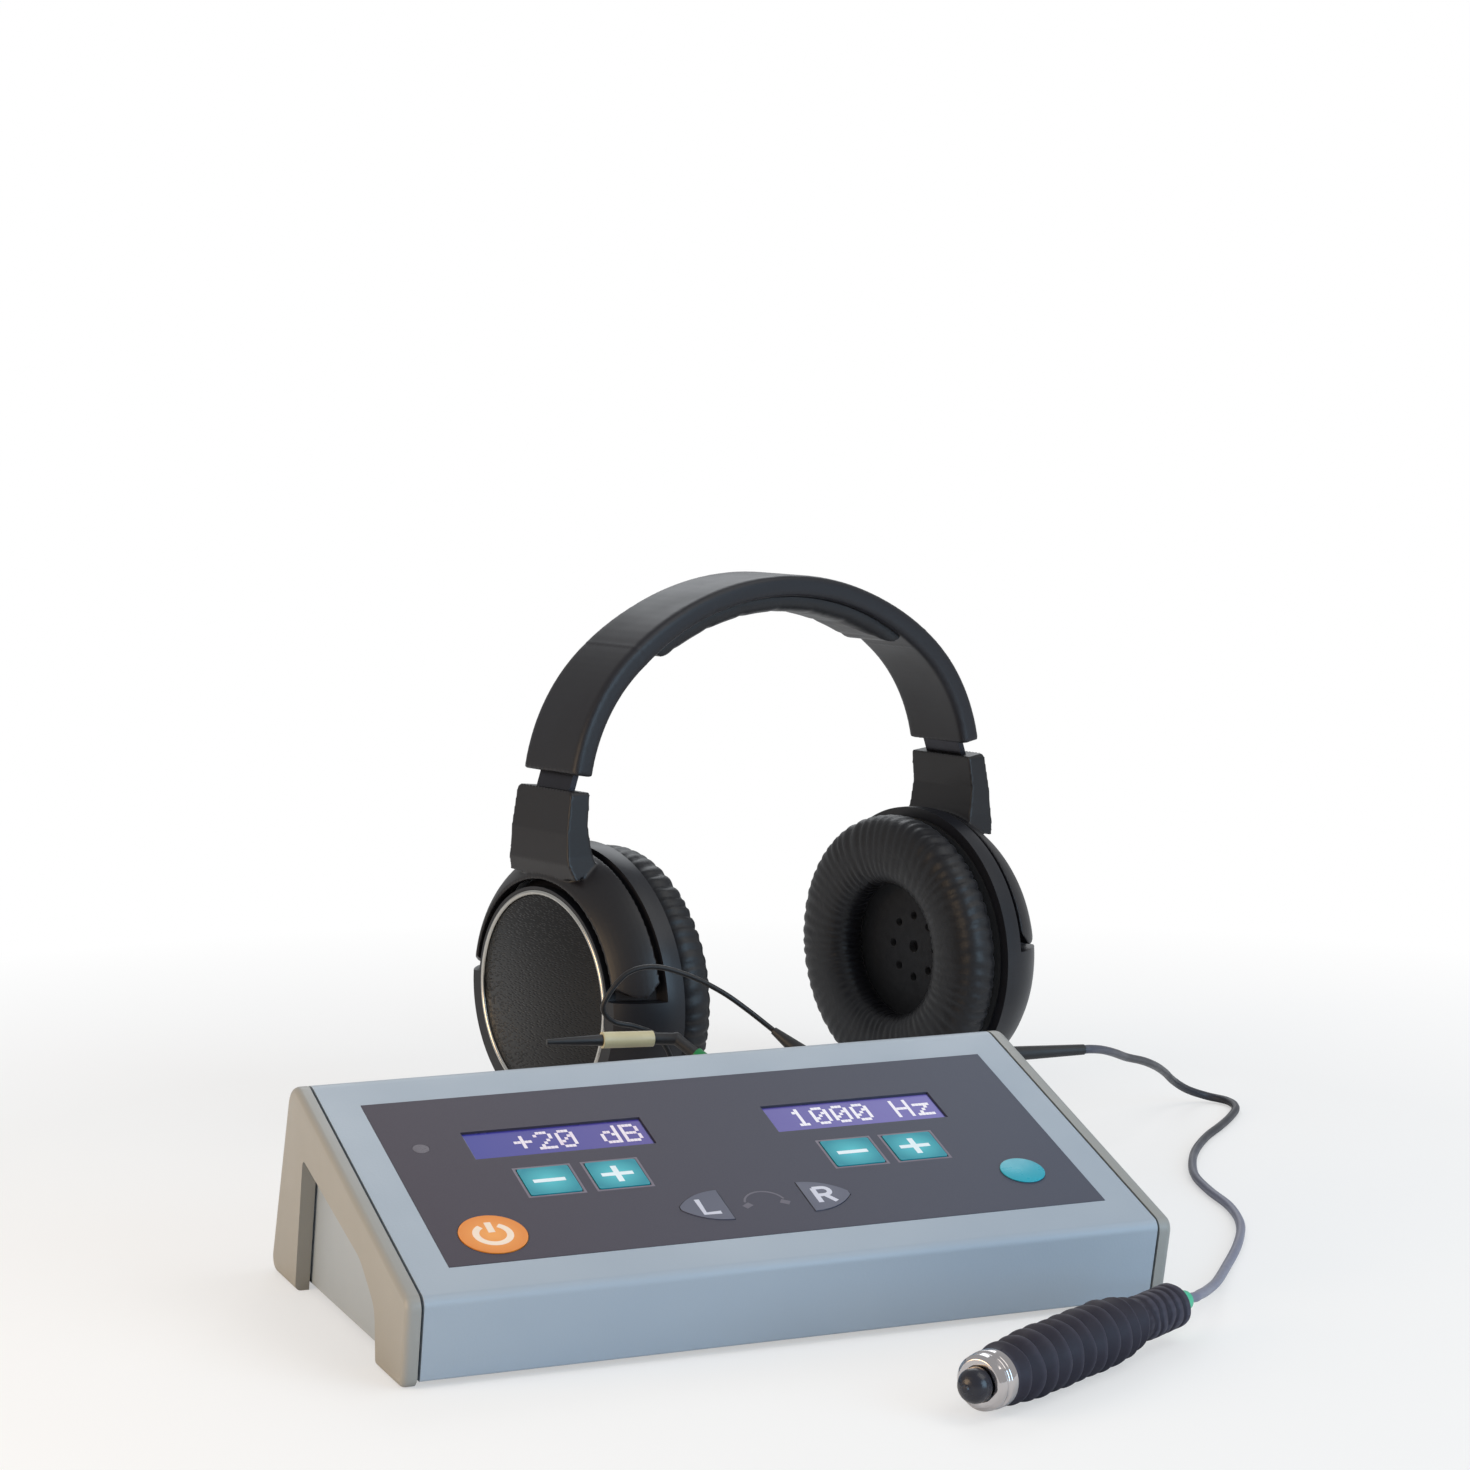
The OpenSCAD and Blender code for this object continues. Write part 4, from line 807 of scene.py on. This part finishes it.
class AUDIOMETER_OT_keys(bpy.types.Operator):
    """Prints the keys and their marks on the foil"""

    bl_idname = "audiometer.keys"
    bl_label = "Print Keys"

    def execute(self, context):
        # Screen-printed opaque white ink: flat, slightly raised.
        white = finish("white_screen_ink", "#eef6f8", "#dcebf0", 0.45, grain_mm=0.4)
        cream = finish("cream_screen_ink", "#f6e3d0", "#efd6bd", 0.45, grain_mm=0.4)
        mauve = finish("mauve_screen_ink", "#756d7a", "#6c6470", 0.5, grain_mm=0.4)
        pale = finish("pale_screen_ink", "#d3d3de", "#c4c4d2", 0.5, grain_mm=0.4)
        faint = finish("faint_screen_ink", "#625e6a", "#5a5662", 0.5, grain_mm=0.4)

        for node, at in SQUARE_KEYS.items():
            dress(key_foil(node + "_print", at, 9, "#4bbcc6", "#0c8999"), node)
            place = SLOPE @ Matrix.Translation((at[0], at[1], KEY_N))
            lines = [[(-4.9, 0), (4.9, 0)]]
            if "plus" in node:
                lines.append([(0, -4.4), (0, 4.4)])
            mark = printed(node.replace("key", "mark"), lines, 1.8, place)
            dress(white, mark)
            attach(mark, node)
            w, h = 8.5, 7.95
            rim = printed(
                node.replace("key", "border"), [[(-w, -h), (w, -h), (w, h), (-w, h)]], 1.05,
                SLOPE @ Matrix.Translation((at[0], at[1], 0.1)), 0.1, closed=True,
            )
            dress(mauve, rim)
            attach(rim, "console")

        dress(key_foil("power_key_print", POWER_AT, 13, "#ee9f4c", "#da7a1a"), "power_key")
        place = SLOPE @ Matrix.Translation((POWER_AT[0], POWER_AT[1], KEY_N))
        mark = printed(
            "power_mark", [arc((0, 0), 4.9, 122, 418, 40), [(0, 0.9), (0, 6.2)]], 2.0, place
        )
        dress(cream, mark)
        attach(mark, "power_key")

        grey = finish(
            "grey_key_print", "#5e6070", "#585a69", 0.45, grain_mm=0.45, grain_depth=0.03,
            specular=0.25,
        )
        dress(grey, "left_ear_key", "right_ear_key")
        letter_l = [[(-2.2, 3.9), (-2.2, -3.9), (2.7, -3.9)]]
        bowl = [(-2.4, 3.9), (0.3, 3.9)] + arc((0.3, 1.95), 1.95, 90, -90, 10) + [(-2.4, 0)]
        letter_r = [[(-2.4, -3.9), (-2.4, 3.9)], bowl, [(0.1, 0), (2.5, -3.9)]]
        for side, x, lines in (("left", -18, letter_l), ("right", 18.6, letter_r)):
            mark = printed(
                side + "_ear_mark", lines, 1.6,
                SLOPE @ Matrix.Translation((x, 32.4, KEY_N)),
            )
            dress(pale, mark)
            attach(mark, side + "_ear_key")

        icon = printed(
            "headphone_mark", [arc((0, 0), 6.2, 12, 168, 24)], 0.65,
            SLOPE @ Matrix.Translation((-0.3, 31.4, 0.1)),
        )
        pads = printed(
            "headphone_mark_pads", [[(-6.4, 0.3), (-5.3, -1.4)], [(6.4, 0.3), (5.3, -1.4)]],
            2.8, SLOPE @ Matrix.Translation((-0.3, 31.4, 0.1)),
        )
        icon = joined([icon, pads], "headphone_mark")
        dress(faint, icon)
        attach(icon, "console")
        return {"FINISHED"}


class AUDIOMETER_OT_displays(bpy.types.Operator):
    """Makes the two dot displays behind the foil's windows"""

    bl_idname = "audiometer.displays"
    bl_label = "Make Displays"

    def screen(self, name, at, film):
        """Glass of one display: a plate whose picture area rises into the foil's window."""
        bpy.ops.mesh.primitive_cube_add(size=1)
        plate = made(name)
        plate.dimensions = (WINDOW_SIZE[0] + 2.2, WINDOW_SIZE[1] + 2.2, 2.3)
        plate.location = (at[0], at[1], GLASS_N - 1.2)
        bpy.ops.object.transform_apply(location=True, rotation=True, scale=True)
        edit(plate, lambda: bpy.ops.mesh.select_all(action="DESELECT"))
        for face in plate.data.polygons:
            face.select = face.normal.z > 0.9
        bpy.ops.object.mode_set(mode="EDIT")
        bpy.ops.mesh.select_mode(type="FACE")
        bpy.ops.mesh.inset(thickness=1.25, depth=0)
        bpy.ops.mesh.extrude_region_move(
            TRANSFORM_OT_translate={"value": (0, 0, PICTURE_N - GLASS_N)}
        )
        bpy.ops.mesh.inset(thickness=0.45, depth=0)
        bpy.ops.object.mode_set(mode="OBJECT")
        # Black chromium mask printed round the picture area.
        mask = finish("display_mask", "#23264f", "#1d2042", 0.3, grain_mm=3, grain_depth=0.01)
        rim = finish("display_border", "#3b3c7c", "#33346e", 0.3, grain_mm=3, grain_depth=0.01)
        for mat in (mask, film, rim):
            plate.data.materials.append(mat)
        for face in plate.data.polygons:
            if face.normal.z > 0.9 and face.center.z > GLASS_N + 0.1:
                inner = (face.center - Vector((at[0], at[1], PICTURE_N))).length < 0.1
                face.material_index = 1 if inner else 2
        return settled(plate, SLOPE)

    def dots(self, name, text, at, ink, gap):
        """Lit dots of one display, each a low square block, joined into one piece."""
        bpy.ops.mesh.primitive_cube_add(size=1)
        block = made(name + "_dot")
        block.dimensions = (DOT_PITCH[0] - gap, DOT_PITCH[1] - gap, 0.08)
        bpy.ops.object.transform_apply(location=True, rotation=True, scale=True)
        right = at[0] + WINDOW_SIZE[0] / 2 - 2.4
        start = right - len(text) * CELL_PITCH + (CELL_PITCH - 5 * DOT_PITCH[0])
        blocks = []
        for cell, character in enumerate(text):
            rows = CHARACTERS.get(character)
            if not rows:
                continue
            for row, line in enumerate(rows.split()):
                for column, lit in enumerate(line):
                    if lit != "#":
                        continue
                    copy = block.copy()
                    copy.data = block.data.copy()
                    copy.location = (
                        start + cell * CELL_PITCH + (column + 0.5) * DOT_PITCH[0],
                        at[1] + 0.3 + (3 - row) * DOT_PITCH[1], PICTURE_N + 0.02,
                    )
                    bpy.context.scene.collection.objects.link(copy)
                    blocks.append(copy)
        bpy.data.objects.remove(block)
        bpy.ops.object.select_all(action="DESELECT")
        for copy in blocks:
            copy.select_set(True)
        bpy.context.view_layer.objects.active = blocks[0]
        bpy.ops.object.transform_apply(location=True, rotation=True, scale=True)
        bpy.ops.object.join()
        piece = made(name)
        dress(ink, piece)
        return settled(piece, SLOPE)

    def execute(self, context):
        sizes = context.scene.audiometer_displays
        level = self.screen(
            "level_screen", LEVEL_WINDOW,
            display_layer("blue_display_film", "#2d319f", "#5a49a2", LEVEL_WINDOW),
        )
        frequency = self.screen(
            "frequency_screen", FREQUENCY_WINDOW,
            display_layer("lilac_display_film", "#5f54aa", "#7a72c4", FREQUENCY_WINDOW),
        )
        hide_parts("display_glasses")
        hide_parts("display_glasses")
        level_dots = self.dots(
            "level_dots", sizes.level_text, LEVEL_WINDOW, display_dot("pink_dots", "#e6cfe4"),
            sizes.dot_gap,
        )
        frequency_dots = self.dots(
            "frequency_dots", sizes.frequency_text, FREQUENCY_WINDOW,
            display_dot("white_dots", "#f3f0ff"), sizes.dot_gap,
        )
        for piece in (level, frequency, level_dots, frequency_dots):
            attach(piece, "console")
        return {"FINISHED"}


class AUDIOMETER_OT_leads(bpy.types.Operator):
    """Dresses the plugs, the spare lead and the tie of the coil"""

    bl_idname = "audiometer.leads"
    bl_label = "Dress Plugs"

    def execute(self, context):
        # Moulded thermoplastic rubber of the plugs and boots: matt black.
        rubber = finish("moulded_tpe", "#202023", "#19191c", 0.5, grain_mm=0.6)
        for node, name in (
            ("headset_plug", "headset_plug_boot"), ("response_plug", "response_plug_boot"),
            ("spare_plug", "spare_plug_boot"), ("coil_tie", "coil_tie_band"),
        ):
            dress(rubber, refined(node, name, 40))
        # Injection-moulded nylon, dyed green.
        dress(
            finish("green_nylon", "#0f8445", "#0c6f39", 0.36, grain_mm=1.5, grain_depth=0.02),
            refined("spare_collar", "green_collar", 40),
        )
        # Aged translucent silicone sleeve.
        dress(
            finish("cream_silicone", "#cdc39f", "#bcb18b", 0.4, grain_mm=1.2, mottle_mm=5),
            refined("spare_sleeve", "cream_sleeve", 40),
        )
        dress(rubber, refined("spare_tip", "black_tip", 40))
        return {"FINISHED"}


class AUDIOMETER_OT_handset(bpy.types.Operator):
    """Dresses the response handset"""

    bl_idname = "audiometer.handset"
    bl_label = "Dress Handset"

    def crease(self, grip):
        """Deepens the folds of the grip and lets them wander, as pulled-on rubber does."""
        back = HANDSET.inverted()
        for vertex in grip.data.vertices:
            x, y, z = back @ vertex.co
            r = (x * x + y * y) ** 0.5
            # Neither the bore nor the ends that meet the ring nut and the cord's collar
            if r < 6.1 or not -55 < z < 33.5:
                continue
            a = atan2(y, x)
            share = (BELLOWS_FRONT - z) / GRIP_LEN
            crest = 8.6 + 1.15 * min(1, share * 4) - 2 * max(0, (share - 0.82) / 0.18)
            crest = max(crest, 6.75)
            row = floor((BELLOWS_FRONT - z) / RIB_PITCH)
            wave = sin(2 * a + 1.9 * row) + 0.6 * sin(5 * a + 3.1 * row)
            slack = 0.12 * (1 + sin(3 * a + 2.3 * row))
            deep = max(6.2, crest - 1.45 * max(0, crest - r)) - slack
            vertex.co = HANDSET @ Vector((x * deep / r, y * deep / r, z + 0.3 * wave))

    def execute(self, context):
        # Moulded bellows rubber: dull, black with a violet cast; its rib crests are painted
        # lighter, partly as dust and partly as a painted highlight.
        rubber = finish(
            "bellows_rubber", "#2a2734", "#211e29", 0.6, grain_mm=0.5, grain_depth=0.05,
            mottle_mm=8, edge_wear_and_highlight="#6b6878", specular=0.3,
        )
        grip = refined("handset_grip", "grip_bellows", 30, bevel=0.3)
        self.crease(grip)
        dress(rubber, grip)
        # Turned aluminium body of the switch.
        dress(
            finish("turned_aluminium", "#a4a8ae", "#94989e", 0.32, metallic=1.0,
                   grain_mm=0.3, grain_depth=0.02),
            refined("handset_switch", "switch_body", 35),
        )
        # Polished chrome plating on the ring nut.
        dress(
            finish("polished_chrome", "#cfcaca", "#bfbaba", 0.12, metallic=1.0, grain_mm=3,
                   grain_depth=0.01, rough_spread=0.03),
            refined("handset_ring_nut", "chrome_ring", 30, bevel=0.35, segments=3),
        )
        # Moulded phenolic button, polished by thumbs.
        dress(
            finish("button_phenolic", "#1f202b", "#191a23", 0.3, grain_mm=1, grain_depth=0.01),
            refined("handset_button", "push_button", 50),
        )
        dress(
            finish("mint_green_pvc", "#40bd93", "#36ab83", 0.42, grain_mm=0.8),
            refined("handset_collar", "cord_collar", 40),
        )
        spring = refined("handset_spring", "return_spring", 40)
        dress(steel(), spring)
        only(spring)
        bpy.ops.object.parent_clear(type="CLEAR_KEEP_TRANSFORM")
        del spring["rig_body"]
        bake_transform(spring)
        return {"FINISHED"}


class AUDIOMETER_OT_headset(bpy.types.Operator):
    """Dresses the headband, sliders, yokes, cups, discs and rings"""

    bl_idname = "audiometer.headset"
    bl_label = "Dress Headset"

    def ease(self, band):
        """Carries the extra thickness of the side bands on into the crown, without a step."""
        back = HEADSET.inverted()
        for vertex in band.data.vertices:
            x, y, z = back @ vertex.co
            a = degrees(atan2(z - CROWN_Z, abs(x)))
            if not SIDE_BAND_END < a < EASED_BY:
                continue
            share = (EASED_BY - a) / (EASED_BY - SIDE_BAND_END)
            more = 0.075 * share * share * (3 - 2 * share)
            r = (x * x + (z - CROWN_Z) ** 2) ** 0.5
            scale = (CROWN_R + (r - CROWN_R) * (1 + more)) / r
            vertex.co = HEADSET @ Vector(
                (x * scale, y * (1 + more / 4), CROWN_Z + (z - CROWN_Z) * scale)
            )

    def execute(self, context):
        band = blended("headband", "band_shell", 0.7, 6, self.ease)
        dress(soft_touch("soft_touch_band", "#1b1b22", "#15151a", 0.42), band)
        # Blackened spring steel strip.
        strip = finish(
            "blackened_spring_steel", "#3c3c42", "#323237", 0.36, metallic=0.9,
            grain_mm=0.4, grain_depth=0.02, stretch=(1, 1, 0.2),
        )
        # Brushed and clear-coated aluminium trim.
        silver = finish(
            "bright_aluminium", "#c8c6c2", "#b8b4ac", 0.16, metallic=1.0, grain_mm=0.6,
            grain_depth=0.005, rough_spread=0.04,
        )
        # Woven acoustic cloth over the driver.
        cloth = finish(
            "acoustic_cloth", "#232327", "#1b1b1e", 0.85, grain_mm=0.5, grain_depth=0.12,
            mottle_mm=3, sheen=0.2,
        )
        for side, place in (("left", LEFT_CUP), ("right", RIGHT_CUP)):
            dress(strip, side + "_slider")
            dress(
                soft_touch("soft_touch_yoke", "#1b1a1e", "#151417", 0.4),
                blended(side + "_yoke", side + "_yoke_shell", 0.5, 2),
            )
            dress(
                soft_touch("soft_touch_cup", "#1c1d23", "#16171c", 0.38),
                refined(side + "_cup", side + "_cup_shell", 30),
            )
            dress(
                embossed_gloss(side + "_embossed_gloss", place),
                refined(side + "_face_disc", side + "_outer_disc", 30, bevel=0.25),
            )
            dress(silver, refined(side + "_trim_ring", side + "_bright_ring", 30, bevel=0.2))
            dress(cloth, side + "_driver")
        return {"FINISHED"}


class AUDIOMETER_OT_padding(bpy.types.Operator):
    """Makes the pleated ear cushions and the headband's pad"""

    bl_idname = "audiometer.padding"
    bl_label = "Make Padding"

    def cushion(self, side, place, sizes):
        """Ring cushion: leather gathered in folds round its outside and its ear opening."""
        bpy.ops.mesh.primitive_torus_add(
            major_radius=CUSHION_R, minor_radius=CUSHION_SECTION_R, major_segments=660,
            minor_segments=40,
        )
        ring = made(side + "_ear_cushion")
        depth = sizes.pleat_depth * 1000
        for vertex in ring.data.vertices:
            x, y, z = vertex.co
            a = atan2(y, x)
            out = (x * x + y * y) ** 0.5 - CUSHION_R
            b = atan2(z, out)
            # Square the section a little, so that it is fuller than a round ring
            full = 1 + 0.09 * (sin(2 * b) ** 2)
            wobble = sin(7 * a + 1.3) + 0.6 * sin(13 * a + 0.4) + 0.4 * sin(23 * a + 2.1)
            fold = abs(sin((a * sizes.pleats + 1.1 * wobble + 0.9 * sin(3 * b + 5 * a)) / 2))
            # Folds run deepest round the outside, less deep in the ear opening
            side_share = 0.25 + (0.75 * cos(b) ** 0.8 if cos(b) > 0 else 0.5 * abs(cos(b)))
            drop = depth * side_share * (1 - fold ** 0.7) * (1 + 0.3 * sin(5 * a + 2))
            r = CUSHION_SECTION_R * full - drop - 0.25
            new_out = CUSHION_R + r * cos(b)
            height = CUSHION_Z + min(CUSHION_HALF, max(-CUSHION_HALF, r * sin(b) * 0.64))
            vertex.co = (new_out * cos(a), new_out * sin(a), height)
        settled(ring, place)
        smoothed(ring, 80)
        dress(pleated_leather("synthetic_leather"), ring)
        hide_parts(side + "_cushion")
        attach(ring, side + "_cup")

    def pad(self, sizes):
        """Head pad: a soft strip under the band, with crowned channels across it."""
        bpy.ops.mesh.primitive_cube_add(size=1)
        strip = made("head_pad")
        strip.dimensions = (2, PAD_WIDTH, 6)
        bpy.ops.object.transform_apply(location=True, rotation=True, scale=True)
        edit(strip, lambda: bpy.ops.mesh.subdivide(number_cuts=100))
        for vertex in strip.data.vertices:
            along_band, y, z = vertex.co  # the first from -1 to 1
            ends = (1 - abs(along_band) ** 8) ** 0.5 if abs(along_band) < 1 else 0.0
            edge = (1 - abs(y * 2 / PAD_WIDTH) ** 5) ** 0.5 if abs(y) < PAD_WIDTH / 2 else 0.0
            groove = 0.4 * (0.5 + 0.5 * cos(pi * along_band * 7)) ** 8
            depth = (z + 3) / 6
            thick = (PAD_THICK - (groove if z < 0 else 0)) * (0.18 + 0.82 * min(ends, edge))
            r = PAD_R - (1 - depth) * thick
            a = radians(90 - PAD_HALF_ANGLE * along_band)
            vertex.co = (r * cos(a), y * 0.985, CROWN_Z + r * sin(a))
        settled(strip, HEADSET)
        edit(strip, lambda: bpy.ops.mesh.remove_doubles(threshold=1e-6), outward)
        smoothed(strip, 70)
        dress(pleated_leather("synthetic_leather"), strip)
        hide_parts("headband_pad")
        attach(strip, "headband")

    def execute(self, context):
        sizes = context.scene.audiometer_padding
        self.cushion("left", LEFT_CUP, sizes)
        self.cushion("right", RIGHT_CUP, sizes)
        self.pad(sizes)
        return {"FINISHED"}


class AUDIOMETER_OT_stage(bpy.types.Operator):
    """Makes the pale floor, the white background and the soft lights"""

    bl_idname = "audiometer.stage"
    bl_label = "Make Stage"

    def execute(self, context):
        bpy.ops.mesh.primitive_plane_add(size=8)
        ground = made("floor")
        dress(paper_sweep("pale_floor"), ground)

        world = bpy.data.worlds.new("studio")
        context.scene.world = world
        world.use_nodes = True
        world.node_tree.nodes.clear()
        # A plain white for the camera and for what is seen through glass, a soft fill for the rest
        rays = add(world, "ShaderNodeLightPath").outputs
        direct = add(
            world, "ShaderNodeMath", {"operation": "MAXIMUM"},
            {0: rays["Is Camera Ray"], 1: rays["Is Transmission Ray"]},
        )
        fill = add(
            world, "ShaderNodeBackground", {"Strength": 0.5, "Color": (0.97, 0.985, 1.0, 1)}
        )
        white = add(world, "ShaderNodeBackground", {"Strength": 1.0, "Color": (1, 1, 1, 1)})
        mix = add(
            world, "ShaderNodeMixShader", {},
            {"Fac": direct.outputs[0], 1: fill.outputs[0], 2: white.outputs[0]},
        )
        add(world, "ShaderNodeOutputWorld", {}, {"Surface": mix.outputs[0]})

        # Soft box above, a cool one from the front, a warm low one from the left, a rim behind
        for name, place, size, power, colour in (
            ("key_light", (0.8, -0.7, 1.6), 1.3, 8, (1.0, 0.96, 0.9)),
            ("cool_light", (0.8, -1.5, 0.45), 1.1, 15, (0.5, 0.76, 1.0)),
            ("warm_light", (-0.8, -0.15, 0.2), 0.5, 3.6, (1.0, 0.71, 0.42)),
            ("rim_light", (0.5, 1.3, 1.1), 1.0, 6, (0.92, 0.96, 1.0)),
        ):
            bpy.ops.object.light_add(type="AREA", location=place)
            lamp = context.object
            lamp.name = name
            lamp.data.size = size
            lamp.data.energy = power
            lamp.data.color = colour
            aim = Vector((0.0, 0.0, 0.1)) - Vector(place)
            lamp.rotation_euler = aim.to_track_quat("-Z", "Y").to_euler()
        context.scene.view_settings.view_transform = "Standard"
        return {"FINISHED"}


class AUDIOMETER_PT_panel(bpy.types.Panel):
    """Lists the settings and steps of the audiometer"""

    bl_idname = "AUDIOMETER_PT_panel"
    bl_label = "Audiometer"
    bl_space_type = "VIEW_3D"
    bl_region_type = "UI"
    bl_category = "Audiometer"

    def draw(self, context):
        layout = self.layout
        for group in ("audiometer_cords", "audiometer_displays", "audiometer_padding"):
            settings = getattr(context.scene, group)
            box = layout.box()
            for name in settings.__annotations__:
                box.prop(settings, name)
        for operator in OPERATORS:
            layout.operator(operator.bl_idname)


OPERATORS = (
    AUDIOMETER_OT_camera, AUDIOMETER_OT_leads, AUDIOMETER_OT_cords, AUDIOMETER_OT_console,
    AUDIOMETER_OT_keys, AUDIOMETER_OT_displays, AUDIOMETER_OT_handset,
    AUDIOMETER_OT_headset, AUDIOMETER_OT_padding, AUDIOMETER_OT_stage,
)
GROUPS = {
    "audiometer_cords": AudiometerCordSettings,
    "audiometer_displays": AudiometerDisplaySettings,
    "audiometer_padding": AudiometerPaddingSettings,
}


def register():
    for one in (*GROUPS.values(), *OPERATORS, AUDIOMETER_PT_panel):
        bpy.utils.register_class(one)
    for name, group in GROUPS.items():
        setattr(bpy.types.Scene, name, bpy.props.PointerProperty(type=group))


def unregister():
    for name in GROUPS:
        delattr(bpy.types.Scene, name)
    for one in reversed((*GROUPS.values(), *OPERATORS, AUDIOMETER_PT_panel)):
        bpy.utils.unregister_class(one)


def main():
    register()
    for operator in OPERATORS:
        group, name = operator.bl_idname.split(".")
        getattr(getattr(bpy.ops, group), name)()


if __name__ == "__main__":
    main()
